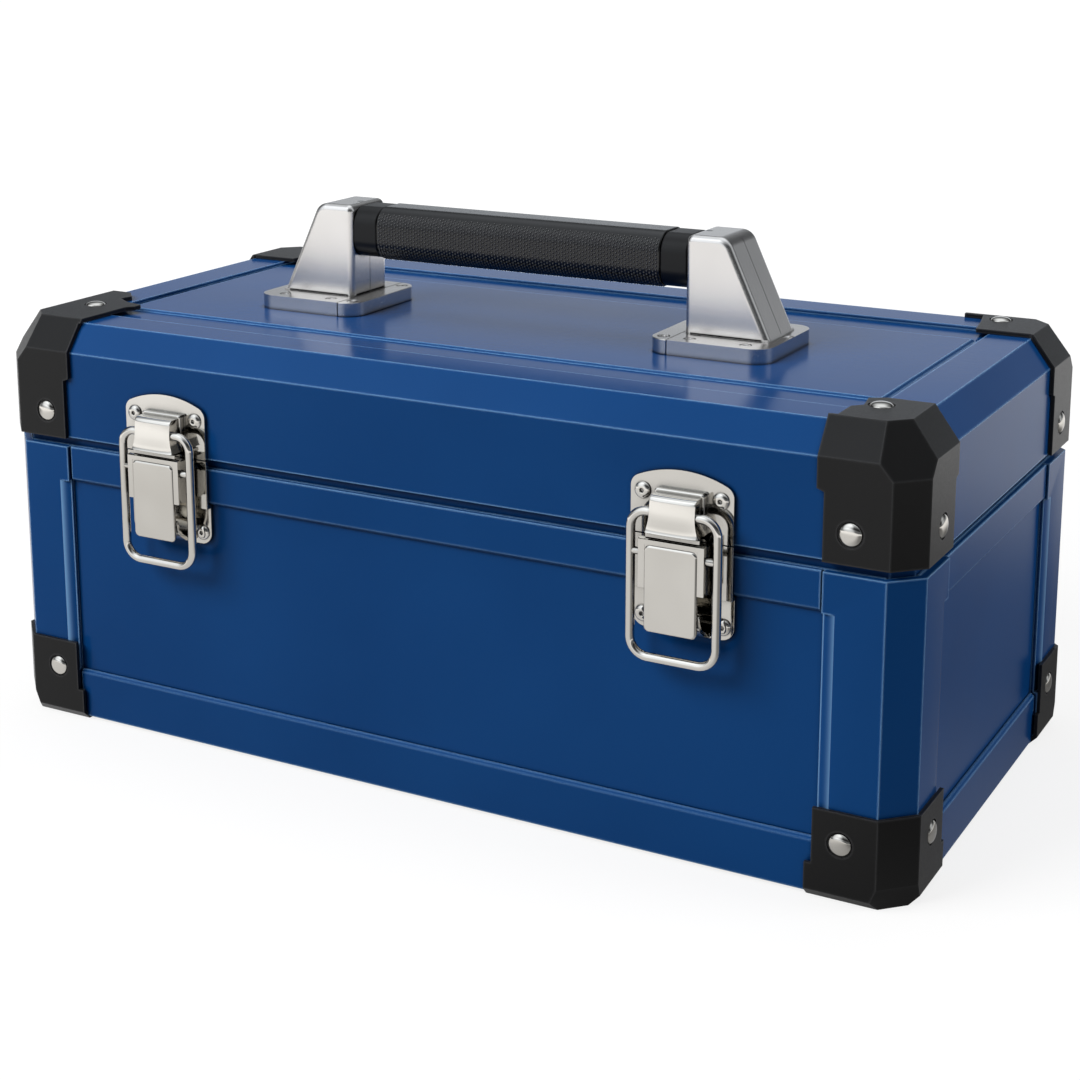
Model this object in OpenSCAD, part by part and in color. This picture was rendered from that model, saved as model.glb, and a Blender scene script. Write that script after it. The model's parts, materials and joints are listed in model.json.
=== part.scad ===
// Portable metal tool box: riveted tub, chamfered hinged lid, two draw latches, fixed carrying handle.
// X runs to the right, Y to the back, Z up. The feet stand on Z = 0.

/* [Body] */
// Width over the corner posts
body_w = 400; // [340:1:480]
// Depth over the corner posts
body_d = 204.5; // [180:0.5:240]
// Height of the body's top edge
body_top = 120.3; // [112:0.1:150]
// Vertical corner chamfer of the posts, measured along each face
post_chamfer = 10.8; // [8:0.1:13]
// Chamfer along the bottom edges of the posts
post_foot_chamfer = 2.6; // [2.4:0.1:3.2]
// Thickness of the corner posts
post_t = 3.2; // [3:0.1:3.6]
// Width of a post on the front and back faces
post_w = 33.5; // [28:0.5:38]
// Width of a post on the side faces
post_side_w = 35.75; // [30:0.25:40]
// Width of the sloping strip along a post's inner edge
post_bevel = 4.8; // [2:0.1:5.5]
// Depth of that sloping strip
post_bevel_depth = 1.6; // [0.8:0.1:2]
// Sheet thickness of the tub panels
panel_t = 1.2; // [1:0.1:2]
// Height of the top rails
rail_top_h = 15; // [12:0.1:16]
// Height of the bottom rails
rail_low_h = 20.6; // [14:0.1:24]
// How far the rails stand out from the panels
rail_t = 2.2; // [1.8:0.1:2.4]
// Chamfer along a rail's edge beside the panel
rail_edge = 1.2; // [0.6:0.1:1.6]
// Open groove between a rail's end and the post
rail_gap = 0.8; // [0.5:0.1:1.5]
// Thickness of the lip that centres the lid
lip_t = 1.2; // [1:0.1:1.6]
// How far the lip rises above the body's top edge
lip_rise = 7; // [5:0.1:9]
// How far the lip reaches down inside the tub
lip_depth = 12; // [8:0.1:16]

/* [Foot caps] */
// Wall thickness of the foot caps
foot_t = 1.4; // [1.2:0.1:1.8]
// Height of the foot caps
foot_h = 34.5; // [28:0.5:40]
// Width of a foot cap on the front and back faces
foot_w = 34.2; // [28:0.1:38]
// Width of a foot cap on the side faces
foot_side_w = 35.6; // [30:0.1:40]
// How much wider the lowest part of a foot cap is
foot_step = 2.6; // [1.5:0.1:3]
// Height of that wider part
foot_step_h = 13.5; // [9:0.1:16]
// Height where the sloping facet of a foot's corner starts
foot_facet_z = 9; // [7:0.1:13]
// Run of that facet for each millimetre of height
foot_facet_k = 0.4; // [0.2:0.05:1]
// Height of the foot rivets
foot_rivet_z = 22.6; // [19:0.1:26]

/* [Lid] */
// Open gap between the body and the lid
lid_gap = 4; // [3:0.1:5]
// Height of the lid's border above the floor
lid_top = 171.8; // [165:0.1:190]
// Horizontal size of the lid's sloping edge
lid_run = 8.5; // [6:0.1:11]
// Vertical size of the lid's sloping edge
lid_rise = 11.4; // [8:0.1:14]
// Vertical corner chamfer of the lid, measured along each face
lid_chamfer = 9.2; // [8:0.1:11]
// Sheet thickness of the lid rails
lid_t = 1.7; // [1.4:0.1:2]
// Width of the raised border round the lid's top
border_w = 17.4; // [14:0.1:22]
// Thickness of the lid's top panel
lid_panel_t = 1.2; // [1:0.1:2]
// Gap from the border to the ends of the raised field
field_end_gap = 3; // [1:0.5:20]
// Gap from the border to the front and back of the raised field
field_side_gap = 19.5; // [5:0.5:30]
// How far that field stands up
field_h = 1; // [0.6:0.1:1.4]

/* [Lid caps] */
// Wall thickness of the lid's corner caps
cap_t = 1.8; // [1.5:0.1:2.2]
// Width of a lid cap's upper part on the front and back faces
cap_w = 36.3; // [32:0.1:40]
// Width of a lid cap's upper part on the side faces
cap_side_w = 39; // [34:0.1:42]
// How much narrower the lower part of a lid cap is
cap_step = 2.7; // [1.5:0.1:3.5]
// Height of that step
cap_step_z = 149.7; // [145:0.1:153]
// Height where the sloping facet of a cap's corner starts
cap_facet_z = 154.8; // [152:0.1:158]
// Run of that facet for each millimetre of height
cap_facet_k = 0.84; // [0.5:0.01:0.9]
// Height of the rivets on the caps' upright faces
cap_rivet_z = 135; // [131:0.1:140]

/* [Rivets and screws] */
// Radius of a rivet's head
rivet_r = 4.3; // [3.5:0.1:4.8]
// Height of a rivet's head
rivet_h = 1.7; // [1.2:0.1:2.2]
// Radius of the shallow seat round a rivet's head
rivet_seat_r = 4.8; // [4.5:0.1:5.4]
// Depth of that seat
rivet_seat = 0.5; // [0.3:0.1:0.8]
// Distance of the front and back rivets from the box's side
rivet_in = 23.8; // [20:0.1:27]
// Distance of the side rivets from the box's front or back
rivet_side_in = 23.9; // [20:0.1:27]
// Radius of a rivet's shank
rivet_shank_r = 1.6; // [1.2:0.1:2]
// Radius of a latch screw's head
screw_r = 3.2; // [2.6:0.1:3.3]
// Height of a latch screw's head
screw_h = 1.5; // [1:0.1:2]
// Radius of a screw's shank
screw_shank_r = 1.5; // [1.2:0.1:1.8]
// Clearance of a shank in its hole
shank_fit = 0.05; // [0.02:0.01:0.1]

/* [Latches] */
// Distance of a latch's middle from the end of the body
latch_in = 86; // [70:1:105]
// Half width of a latch's plates
plate_w = 19.8; // [19:0.1:22]
// Thickness of the latch plates
plate_t = 1.5; // [1.2:0.1:1.6]
// Height of the catch plate's arched top
catch_top = 148.9; // [147:0.1:152]
// Radius of the arch along the catch plate's top
arch_r = 42; // [36:0.5:60]
// Radius of the catch plate's upper corners
catch_corner = 4.5; // [3:0.1:6]
// Height of the catch plate's screws
catch_screw_z = 139.9; // [138.5:0.1:141]
// Distance of the catch plate's screws from its middle
catch_screw_x = 15; // [14.4:0.1:15.4]
// Half width of the hood that holds the bail
hood_w = 10; // [9:0.05:10.4]
// Height of the hood's front edge at its top
hood_top = 140.8; // [139:0.1:142]
// Height of the hood's lower edge
hood_low = 127.4; // [127.2:0.1:128.5]
// Radius of the hood's rounded top edge
hood_r = 3.4; // [2:0.1:4]
// Wall thickness of the hood
hood_wall = 1.3; // [1:0.1:1.5]
// How far the ledge behind the hood rises above it
hood_ledge = 1.3; // [1:0.1:2]
// Height of the bail's pivot
bail_z = 134.5; // [134:0.1:136]
// Distance of the bail's pivot from the front rails
bail_out = 7.8; // [7.7:0.1:9]
// Radius of the bail's wire
wire_r = 1.65; // [1.4:0.05:1.7]
// Half width of the bail between its wires' centrelines
bail_w = 16.7; // [16:0.05:17.5]
// Length of the bail between its wires' centrelines
bail_len = 54; // [50:0.1:56]
// Corner radius of the bail at the hood
bail_top_r = 6; // [4.5:0.1:6]
// Corner radius of the bail's lower end
bail_low_r = 7; // [5:0.1:8]
// Clearance of the pivots
pivot_fit = 0.05; // [0.02:0.01:0.08]
// Height of the lever's pivot
lever_z = 119.4; // [119:0.1:119.4]
// Half width of the lever's upper part
lever_w = 12.6; // [12:0.1:13]
// Half width of the lever's blade
blade_w = 10.1; // [9:0.1:10.6]
// Thickness of the lever's sheet
lever_t = 1.4; // [1.2:0.1:1.5]
// Height of the front plate's top edge over the lever's pivot
blade_top = 3.7; // [3:0.1:4]
// How far the lever's wide part lies behind its front plate
lever_step = 0.7; // [0.4:0.1:0.8]
// How far the lever's nose reaches back over the hook's side
nose_l = 0.6; // [0.4:0.1:0.8]
// How far the lever's cheeks reach down from its pivot
ear_low = 12.4; // [10:0.1:14]
// How far the lever's cheeks reach back from its pivot
ear_back = 4; // [3:0.1:4.4]
// Length of the lever below its pivot
lever_len = 28.4; // [26:0.1:30]
// Distance of the lever's face behind its outer skin from the pivot
lever_out = 1.8; // [1.7:0.1:2.2]
// Radius of the lever's nose about its pivot
nose_r = 5.9; // [5.6:0.1:5.9]
// Lean of the nose past the dead point
nose_lean = 10; // [7:1:14]
// Gap between the nose and the hook at the dead point
hook_gap = 0.1; // [0.05:0.01:0.2]
// How far the hook stands out from the front rails
hook_out = 9.2; // [8.8:0.1:9.3]
// Half width of the hook
hook_w = 10.4; // [8:0.1:10.6]
// Height of the keeper plate's lower edge
keeper_low = 88.3; // [87:0.1:90]
// Height of the keeper plate's screws
keeper_screw_z = 93.3; // [92.4:0.1:95]
// Distance of the keeper plate's screws from its middle
keeper_screw_x = 15.6; // [15:0.1:16]
// Half width of the spring tongue behind the lever
tongue_w = 10.4; // [6:0.1:10.8]

/* [Handle] */
// Sideways place of the handle's middle
handle_x = -3; // [-6:0.5:6]
// Distance from the handle's middle to a bracket tower's inner face
tower_in = 77.5; // [70:0.5:85]
// Distance from the handle's middle to the tower's outer foot
tower_out = 113; // [108:0.1:118]
// Distance from the handle's middle to the tower's outer shoulder
tower_shoulder = 95; // [90:0.1:98]
// Height of the tower's top
tower_top = 216.2; // [210:0.1:225]
// Depth of the towers
tower_d = 27; // [26:0.5:32]
// Rounding of a tower's upright edges
edge_r = 2.5; // [1.5:0.1:3]
// Rounding of a tower's outer shoulder
tower_r = 4; // [3:0.5:6]
// Place of the grip's axis behind the box's middle
grip_y = -2; // [-6:0.5:6]
// Height of the bracket bases
base_h = 6; // [5:0.1:7]
// How far a bracket base reaches in from its tower
base_in_reach = 10; // [8:0.5:11]
// How far a bracket base reaches out from its tower
base_out_reach = 5; // [4:0.5:8]
// How far a bracket base reaches forward from its tower
base_front_reach = 14; // [12:0.5:16]
// How far a bracket base reaches back from its tower
base_back_reach = 10; // [8:0.5:12]
// Corner radius of the bracket bases
base_r = 8; // [5:0.5:8.5]
// Radius of a bracket screw's head
base_screw_r = 2.4; // [2:0.1:2.5]
// Height of a bracket screw's head, sunk into the base
base_screw_h = 1; // [0.8:0.1:1.4]
// Distance of the bracket screws in from the base's edges
base_screw_in = 6; // [5:0.5:8]
// Height of the grip's axis
grip_z = 204.6; // [202:0.1:206]
// Height of the grip's section
grip_h = 22.4; // [20:0.1:24]
// Depth of the grip's section
grip_d = 25.4; // [23:0.1:26]
// Corner radius of the grip's section
grip_r = 8; // [6:0.5:10]
// Length of a grip collar
collar_len = 11.5; // [8:0.5:15]
// How much smaller a collar is than the grip, all round
collar_in = 0.4; // [0.2:0.1:0.8]
// Radius of the steel bar inside the grip
bar_r = 5; // [4:0.5:7]
// Fit of the grip and collars on that bar
bar_fit = 0.05; // [0.02:0.01:0.1]

/* [Hinges] */
// Distance of a hinge's middle from the end of the body
hinge_in = 80; // [60:1:110]
// Width of a hinge
hinge_w = 52; // [40:1:64]
// Thickness of the hinge leaves
leaf_t = 1.5; // [1.2:0.1:1.6]
// Outer radius of the hinge knuckles
knuckle_r = 3.35; // [3.1:0.05:3.6]
// Radius of the hinge pins
pin_r = 1.5; // [1.2:0.1:1.7]
// Gap between neighbouring knuckles
knuckle_gap = 0.4; // [0.35:0.05:0.6]
// Height of the hinge leaves away from the knuckles
leaf_h = 14; // [12.5:0.1:14.5]

/* [Hidden] */
$fn = 48;

paint = [0.10, 0.26, 0.47];
black = [0.17, 0.17, 0.18];
nickel = [0.80, 0.78, 0.74];
steel = [0.72, 0.73, 0.75];
hide = [0.05, 0.05, 0.05];

half_w = body_w / 2;
body_low = foot_t;
half_d = body_d / 2;
panel_x = half_w - post_t;
panel_y = half_d - post_t;
rail_x = panel_x + rail_t;
rail_y = panel_y + rail_t;
post_x = half_w - post_w;
post_y = half_d - post_side_w;
post_inner_cut = post_chamfer + post_t * (sqrt(2) - 1);
panel_end_x = half_w - post_inner_cut - rail_gap / 4;
panel_end_y = half_d - post_inner_cut - rail_gap / 4;
lid_low = body_top + lid_gap;
lid_field_z = lid_top - lid_t;
base_z = lid_field_z + field_h;
base_in = tower_in - base_in_reach;
base_out = tower_out + base_out_reach;
base_front = grip_y - tower_d / 2 - base_front_reach;
base_back = grip_y + tower_d / 2 + base_back_reach;
facet_reach = 2.8 * post_chamfer;
cap_reach = 2 * lid_run;
latch_x = half_w - latch_in;
hinge_x = half_w - hinge_in;
opening_x = half_w - post_t + rail_t - lid_run - border_w;
opening_y = rail_y - lid_run - border_w;
field_x = opening_x - field_end_gap;
field_y = opening_y - field_side_gap;
hinge_y = rail_y + knuckle_r;
hinge_z = body_top + lid_gap / 2;
hook_z = lever_z + nose_r + hook_gap;
hook_start = 2.2;
keeper_top = lid_low - 0.5;
lever_face = lever_out + lever_t;
front_reach = rail_y + bail_out + lever_face;
back_reach = hinge_y + knuckle_r;
frame_shift = (front_reach - back_reach) / 2;
step_z = body_top - rail_top_h;
slack = 0.3;
far = 600;

// Shared forms

module in_frame() {
  translate([0, frame_shift, 0]) children();
}

// A quarter piece drawn at the back right corner, moved to any corner
module at_corner(side_x, side_y) {
  mirror([side_x < 0 ? 1 : 0, 0, 0])
    mirror([0, side_y < 0 ? 1 : 0, 0]) children();
}

// Lays a drawing of outward distance and height into the box, drawn from the front rails at x
module latch_at(x) {
  translate([x, -rail_y, 0]) mirror([0, 1, 0]) children();
}

// Extrudes a drawing of outward distance and height along X, from -half to half
module across(half) {
  translate([-half, 0, 0]) rotate([90, 0, 90]) linear_extrude(2 * half) children();
}

// Extrudes a drawing of X and height along Y
module inward(low, high) {
  translate([0, high, 0]) rotate([90, 0, 0]) linear_extrude(high - low) children();
}

// Block with chamfered upright corners, a sloping edge round its top and a facet on each top
// corner. It is drawn grown by g, with every plane moved out by g.
module chamfered_block(half_x, half_y, top, cut, run, rise, facet_z, facet_k, g) {
  slope = sqrt(run * run + rise * rise);
  run_g = run + g * (1 - (slope - run) / rise);
  rise_g = rise + g * (1 - (slope - rise) / run);
  cut_g = cut + g * (2 - sqrt(2));
  x = half_x + g;
  y = half_y + g;
  z = top + g;
  facet_out = (half_x + half_y - cut) / sqrt(2) + g * (sqrt(2 + facet_k * facet_k) / sqrt(2));
  facet_side = (half_y - half_x) / sqrt(2);
  difference() {
    intersection() {
      linear_extrude(z) polygon([
        [x - cut_g, y], [x, y - cut_g], [x, cut_g - y], [x - cut_g, -y],
        [cut_g - x, -y], [-x, cut_g - y], [-x, y - cut_g], [cut_g - x, y]
      ]);
      inward(-y, y) polygon([
        [-x, 0], [x, 0], [x, z - rise_g], [x - run_g, z], [run_g - x, z], [-x, z - rise_g]
      ]);
      across(x) polygon([
        [-y, 0], [y, 0], [y, z - rise_g], [y - run_g, z], [run_g - y, z], [-y, z - rise_g]
      ]);
    }
    for (side_x = [-1, 1], side_y = [-1, 1]) at_corner(side_x, side_y)
      rotate([0, 0, 45]) translate([facet_out, facet_side, facet_z])
        rotate([0, -atan(facet_k / sqrt(2)), 0])
          translate([0, -facet_reach, -2 * facet_reach])
            cube([2 * facet_reach, 2 * facet_reach, 4 * facet_reach]);
  }
}

module lid_form(g) {
  translate([0, 0, lid_low - 20])
    chamfered_block(half_w - post_t + rail_t, rail_y, lid_top - lid_low + 20, lid_chamfer,
      lid_run, lid_rise, cap_facet_z - lid_low + 20, cap_facet_k, g);
}

// The foot's own facet is set from its outer skin, so the block is grown from there
module body_form(g) {
  translate([0, 0, body_top + 20]) mirror([0, 0, 1])
    chamfered_block(half_w, half_d, body_top + 20 - body_low, post_chamfer,
      post_foot_chamfer, post_foot_chamfer, body_top + 20 - foot_facet_z, foot_facet_k, g);
}

// Domed head with a shank below it, standing on Z = 0
module rivet(head_r, head_h, shank_r, shank_l) {
  dome_r = (head_r * head_r + head_h * head_h) / (2 * head_h);
  intersection() {
    translate([0, 0, head_h - dome_r]) sphere(dome_r);
    cylinder(r = head_r, h = head_h);
  }
  translate([0, 0, -shank_l]) cylinder(r = shank_r, h = shank_l + head_h / 3);
}

// Domed screw with a cross recess
module cross_screw(head_r, head_h, shank_l) {
  difference() {
    rivet(head_r, head_h, screw_shank_r, shank_l);
    for (turn = [20, 110]) rotate([0, 0, turn])
      translate([-head_r * 0.6, -0.35, head_h * 0.4]) cube([head_r * 1.2, 0.7, head_h]);
  }
}

module shank_hole(r, depth) {
  translate([0, 0, -depth]) cylinder(r = r + shank_fit, h = depth + 1);
}

// Body

// Plan of the tub's inside, made smaller by inset
module tub_outline(inset) {
  x = panel_x - panel_t - inset;
  y = panel_y - panel_t - inset;
  cut = x + y - (panel_end_x + panel_y) + inset * sqrt(2);
  polygon([
    [x - cut, y], [x, y - cut], [x, cut - y], [x - cut, -y],
    [cut - x, -y], [-x, cut - y], [-x, y - cut], [cut - x, y]
  ]);
}

module floor_panel() {
  color(paint) in_frame() translate([0, 0, body_low])
    linear_extrude(panel_t) tub_outline(0);
}

module long_panel(side) {
  color(paint) in_frame() difference() {
    at_corner(1, side) translate([-panel_end_x, panel_y - panel_t, body_low])
      cube([2 * panel_end_x, panel_t, body_top - body_low]);
    if (side < 0) keeper_holes();
  }
}

module front_panel() {
  long_panel(-1);
}

module back_panel() {
  long_panel(1);
}

module end_panel(side) {
  color(paint) in_frame() at_corner(side, 1)
    translate([panel_x - panel_t, -panel_end_y, body_low])
      cube([panel_t, 2 * panel_end_y, body_top - body_low]);
}

module left_panel() {
  end_panel(-1);
}

module right_panel() {
  end_panel(1);
}

// Sloping strip cut along one inner edge of a post, between the rails
module post_strip(edge, face) {
  translate([0, 0, body_low + rail_low_h])
    linear_extrude(step_z - body_low - rail_low_h) polygon([
      [edge - 1, face + 1], [edge + post_bevel + 0.5, face + 1], [edge + post_bevel, face],
      [edge + 0.5, face - post_bevel_depth], [edge - 1, face - post_bevel_depth]
    ]);
}

module post(side_x, side_y) {
  color(paint) in_frame() at_corner(side_x, side_y) difference() {
    intersection() {
      body_form(0);
      translate([0, 0, body_low]) linear_extrude(body_top - body_low) polygon([
        [post_x, half_d], [half_w - post_chamfer, half_d], [half_w, half_d - post_chamfer],
        [half_w, post_y], [panel_x, post_y], [panel_x, half_d - post_inner_cut],
        [half_w - post_inner_cut, panel_y], [post_x, panel_y]
      ]);
    }
    post_strip(post_x, half_d);
    mirror([1, -1, 0]) post_strip(post_y, half_w);
    foot_rivet_places() shank_hole(rivet_shank_r, post_t + 1);
  }
}

module front_left_post() {
  post(-1, -1);
}

module front_right_post() {
  post(1, -1);
}

module back_left_post() {
  post(-1, 1);
}

module back_right_post() {
  post(1, 1);
}

// Rail section: outward distance and height, with a chamfer beside the panel
module rail_section(low, high, chamfer_low) {
  polygon(chamfer_low
    ? [[0, low], [rail_t - rail_edge, low], [rail_t, low + rail_edge], [rail_t, high], [0, high]]
    : [[0, low], [rail_t, low], [rail_t, high - rail_edge], [rail_t - rail_edge, high], [0, high]]);
}

module long_rail(side, low, high, chamfer_low) {
  at_corner(1, side) translate([0, panel_y, 0])
    across(post_x - rail_gap) rail_section(low, high, chamfer_low);
}

module end_rail(side, low, high, chamfer_low) {
  at_corner(side, 1) translate([panel_x, 0, 0]) rotate([0, 0, -90])
    across(post_y - rail_gap) rail_section(low, high, chamfer_low);
}

module top_front_rail() {
  color(paint) in_frame() long_rail(-1, step_z, body_top, true);
}

module top_back_rail() {
  color(paint) in_frame() difference() {
    long_rail(1, step_z, body_top, true);
    leaf_rivet_places(-1) shank_hole(rivet_shank_r, rail_t + leaf_t);
  }
}

module top_left_rail() {
  color(paint) in_frame() end_rail(-1, step_z, body_top, true);
}

module top_right_rail() {
  color(paint) in_frame() end_rail(1, step_z, body_top, true);
}

module bottom_front_rail() {
  color(paint) in_frame() long_rail(-1, body_low, body_low + rail_low_h, false);
}

module bottom_back_rail() {
  color(paint) in_frame() long_rail(1, body_low, body_low + rail_low_h, false);
}

module bottom_left_rail() {
  color(paint) in_frame() end_rail(-1, body_low, body_low + rail_low_h, false);
}

module bottom_right_rail() {
  color(paint) in_frame() end_rail(1, body_low, body_low + rail_low_h, false);
}

module centring_lip() {
  color(paint) in_frame() translate([0, 0, body_top - lip_depth])
    linear_extrude(lip_depth + lip_rise) difference() {
      tub_outline(0);
      tub_outline(lip_t);
    }
}

// Foot caps

// Moves a head-up piece to the foot rivets of the back right corner
module foot_rivet_places() {
  translate([half_w - rivet_in, half_d + foot_t - rivet_seat, foot_rivet_z])
    rotate([-90, 0, 0]) children();
  translate([half_w + foot_t - rivet_seat, half_d - rivet_side_in, foot_rivet_z])
    rotate([0, 90, 0]) children();
}

module rivet_seat_cut(depth) {
  cylinder(r = rivet_seat_r, h = rivet_seat + 1);
  shank_hole(rivet_shank_r, depth);
}

module foot(side_x, side_y) {
  color(black) in_frame() at_corner(side_x, side_y) difference() {
    intersection() {
      body_form(foot_t);
      union() {
        inward(half_d - 2 * post_chamfer, half_d + foot_t) polygon([
          [half_w - foot_w - foot_step, 0], [half_w + foot_t, 0], [half_w + foot_t, foot_h],
          [half_w - foot_w, foot_h], [half_w - foot_w, foot_step_h],
          [half_w - foot_w - foot_step, foot_step_h]
        ]);
        translate([half_w - 2 * post_chamfer, 0, 0]) rotate([90, 0, 90])
          linear_extrude(2 * post_chamfer + foot_t) polygon([
            [half_d - foot_side_w - foot_step, 0], [half_d + foot_t, 0],
            [half_d + foot_t, foot_h], [half_d - foot_side_w, foot_h],
            [half_d - foot_side_w, foot_step_h], [half_d - foot_side_w - foot_step, foot_step_h]
          ]);
        linear_extrude(foot_t) polygon([
          [half_w - foot_w - foot_step, half_d + foot_t], [half_w + foot_t, half_d + foot_t],
          [half_w + foot_t, half_d - foot_side_w - foot_step],
          [half_w - 2 * post_chamfer, half_d - foot_side_w - foot_step],
          [half_w - foot_w - foot_step, half_d - 2 * post_chamfer]
        ]);
      }
    }
    body_form(0);
    translate([0, 0, body_low]) {
      cube([half_w - post_w, panel_y + rail_t, rail_low_h]);
      cube([panel_x + rail_t, half_d - post_side_w, rail_low_h]);
      linear_extrude(foot_h) tub_outline(-panel_t);
    }
    foot_rivet_places() rivet_seat_cut(foot_t + 1);
  }
}

module front_left_foot() {
  foot(-1, -1);
}

module front_right_foot() {
  foot(1, -1);
}

module back_left_foot() {
  foot(-1, 1);
}

module back_right_foot() {
  foot(1, 1);
}

module foot_rivets() {
  color(nickel) in_frame() for (side_x = [-1, 1], side_y = [-1, 1])
    at_corner(side_x, side_y) foot_rivet_places()
      rivet(rivet_r, rivet_h, rivet_shank_r, post_t);
}

// Lid

module lid_shell() {
  difference() {
    lid_form(0);
    translate([0, 0, lid_low - 20]) linear_extrude(20) square(far, center = true);
    lid_form(-lid_t);
    linear_extrude(lid_top + 1) square([2 * opening_x, 2 * opening_y], center = true);
  }
}

// Wedge of the lid that belongs to the back rail, cut on the corner mitres
module back_wedge() {
  inner = opening_y - border_w;
  outer = rail_y + 10;
  lead = opening_x - opening_y;
  linear_extrude(lid_top + 1) polygon([
    [lead + inner, inner], [lead + outer, outer], [-lead - outer, outer], [-lead - inner, inner]
  ]);
}

module lid_front_rail() {
  color(paint) in_frame() difference() {
    intersection() {
      lid_shell();
      mirror([0, 1, 0]) back_wedge();
    }
    cap_rivets_at() shank_hole(rivet_shank_r, 4);
    catch_screw_places() shank_hole(screw_shank_r, plate_t + lid_t + 1);
  }
}

module lid_back_rail() {
  color(paint) in_frame() difference() {
    intersection() {
      lid_shell();
      back_wedge();
    }
    cap_rivets_at() shank_hole(rivet_shank_r, 4);
    leaf_rivet_places(1) shank_hole(rivet_shank_r, 4);
  }
}

module lid_end_rail(side) {
  color(paint) in_frame() difference() {
    intersection() {
      lid_shell();
      at_corner(side, 1) translate([0, -far / 2, 0]) cube(far);
    }
    back_wedge();
    mirror([0, 1, 0]) back_wedge();
    cap_rivets_at() shank_hole(rivet_shank_r, 4);
  }
}

module lid_left_rail() {
  lid_end_rail(-1);
}

module lid_right_rail() {
  lid_end_rail(1);
}

module lid_panel() {
  x = half_w - post_t + rail_t - lid_run - lid_t;
  y = rail_y - lid_run - lid_t;
  color(paint) in_frame() difference() {
    union() {
      translate([-x, -y, lid_field_z - lid_panel_t]) cube([2 * x, 2 * y, lid_panel_t]);
      translate([0, 0, lid_field_z]) intersection() {
        inward(-field_y, field_y) polygon([
          [-field_x, 0], [field_x, 0], [field_x - field_h, field_h], [field_h - field_x, field_h]
        ]);
        across(field_x) polygon([
          [-field_y, 0], [field_y, 0], [field_y - field_h, field_h], [field_h - field_y, field_h]
        ]);
      }
    }
    translate([handle_x, 0, 0]) bracket_screw_holes();
  }
}

// Plan outline of a cap's top plate, measured in from the cap's side and end faces
function cap_plan(shape) = cap_w / 36.3 * (
  shape == "notched" ? [[0, 0], [34, 0], [34, 23], [30.5, 26.5], [32.5, 37], [26.5, 40], [0, 40]] :
  shape == "pronged" ? [[0, 0], [38, 0], [38, 37], [40.5, 40], [40.5, 44], [31, 46.5],
    [24, 51], [25, 57], [19, 63.5], [0, 63.5]] :
  [[0, 0], [46, 0], [46, 11.4], [38, 11.4], [35, 26], [33, 39], [0, 39]]);

// Place of the rivet on a cap's top plate, measured the same way
function cap_top_rivet(shape) = cap_w / 36.3 * (
  shape == "notched" ? [25, 29] :
  shape == "pronged" ? [22.5, 36] :
  [28.8, 17.3]);

cap_shapes = [["pronged", -1, -1], ["notched", 1, -1], ["hooked", -1, 1], ["hooked", 1, 1]];
cap_x = half_w - post_t + rail_t + cap_t;
cap_y = rail_y + cap_t;

// Moves a head-up piece to one cap's three rivets, at the back right corner
module cap_rivet_places(shape) {
  translate([half_w - rivet_in, cap_y - rivet_seat, cap_rivet_z])
    rotate([-90, 0, 0]) children();
  translate([cap_x - rivet_seat, half_d - rivet_side_in, cap_rivet_z])
    rotate([0, 90, 0]) children();
  translate([cap_x - cap_top_rivet(shape)[0], cap_y - cap_top_rivet(shape)[1],
    lid_top + cap_t - rivet_seat]) children();
}

module cap_rivets_at() {
  for (cap = cap_shapes) at_corner(cap[1], cap[2]) cap_rivet_places(cap[0]) children();
}

module cap(shape, side_x, side_y) {
  color(black) in_frame() at_corner(side_x, side_y) difference() {
    intersection() {
      lid_form(cap_t);
      union() {
        inward(rail_y - lid_run, cap_y) polygon([
          [half_w - cap_w + cap_step, lid_low - slack], [cap_x, lid_low - slack],
          [cap_x, lid_top + cap_t], [half_w - cap_w, lid_top + cap_t],
          [half_w - cap_w, cap_step_z], [half_w - cap_w + cap_step, cap_step_z - 1]
        ]);
        translate([cap_x - cap_t - lid_run, 0, 0]) rotate([90, 0, 90])
          linear_extrude(lid_run + cap_t) polygon([
            [half_d - cap_side_w + cap_step, lid_low - slack], [cap_y, lid_low - slack],
            [cap_y, lid_top + cap_t], [half_d - cap_side_w, lid_top + cap_t],
            [half_d - cap_side_w, cap_step_z], [half_d - cap_side_w + cap_step, cap_step_z - 1]
          ]);
        translate([cap_x, cap_y, lid_top]) rotate([0, 0, 180])
          linear_extrude(cap_t) polygon(cap_plan(shape));
        translate([cap_x - cap_reach, cap_y - cap_reach, cap_facet_z])
          cube([cap_reach, cap_reach, lid_top + cap_t - cap_facet_z]);
      }
    }
    lid_form(0);
    cap_rivet_places(shape) rivet_seat_cut(cap_t + 1);
  }
}

module front_left_cap() {
  cap("pronged", -1, -1);
}

module front_right_cap() {
  cap("notched", 1, -1);
}

module back_left_cap() {
  cap("hooked", -1, 1);
}

module back_right_cap() {
  cap("hooked", 1, 1);
}

module cap_rivets() {
  color(nickel) in_frame() cap_rivets_at() rivet(rivet_r, rivet_h, rivet_shank_r, cap_t + 1);
}

// Latches. Inside latch_at the first axis is X, the second the distance out from the front rails.

module catch_screw_places() {
  for (side = [-1, 1], end = [-1, 1])
    translate([side * latch_x + end * catch_screw_x, -rail_y - plate_t, catch_screw_z])
      rotate([90, 0, 0]) children();
}

module keeper_screw_places() {
  for (side = [-1, 1], end = [-1, 1])
    translate([side * latch_x + end * keeper_screw_x, -panel_y - plate_t, keeper_screw_z])
      rotate([90, 0, 0]) children();
}

module keeper_holes() {
  keeper_screw_places() shank_hole(screw_shank_r, plate_t + panel_t + 1);
}

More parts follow.
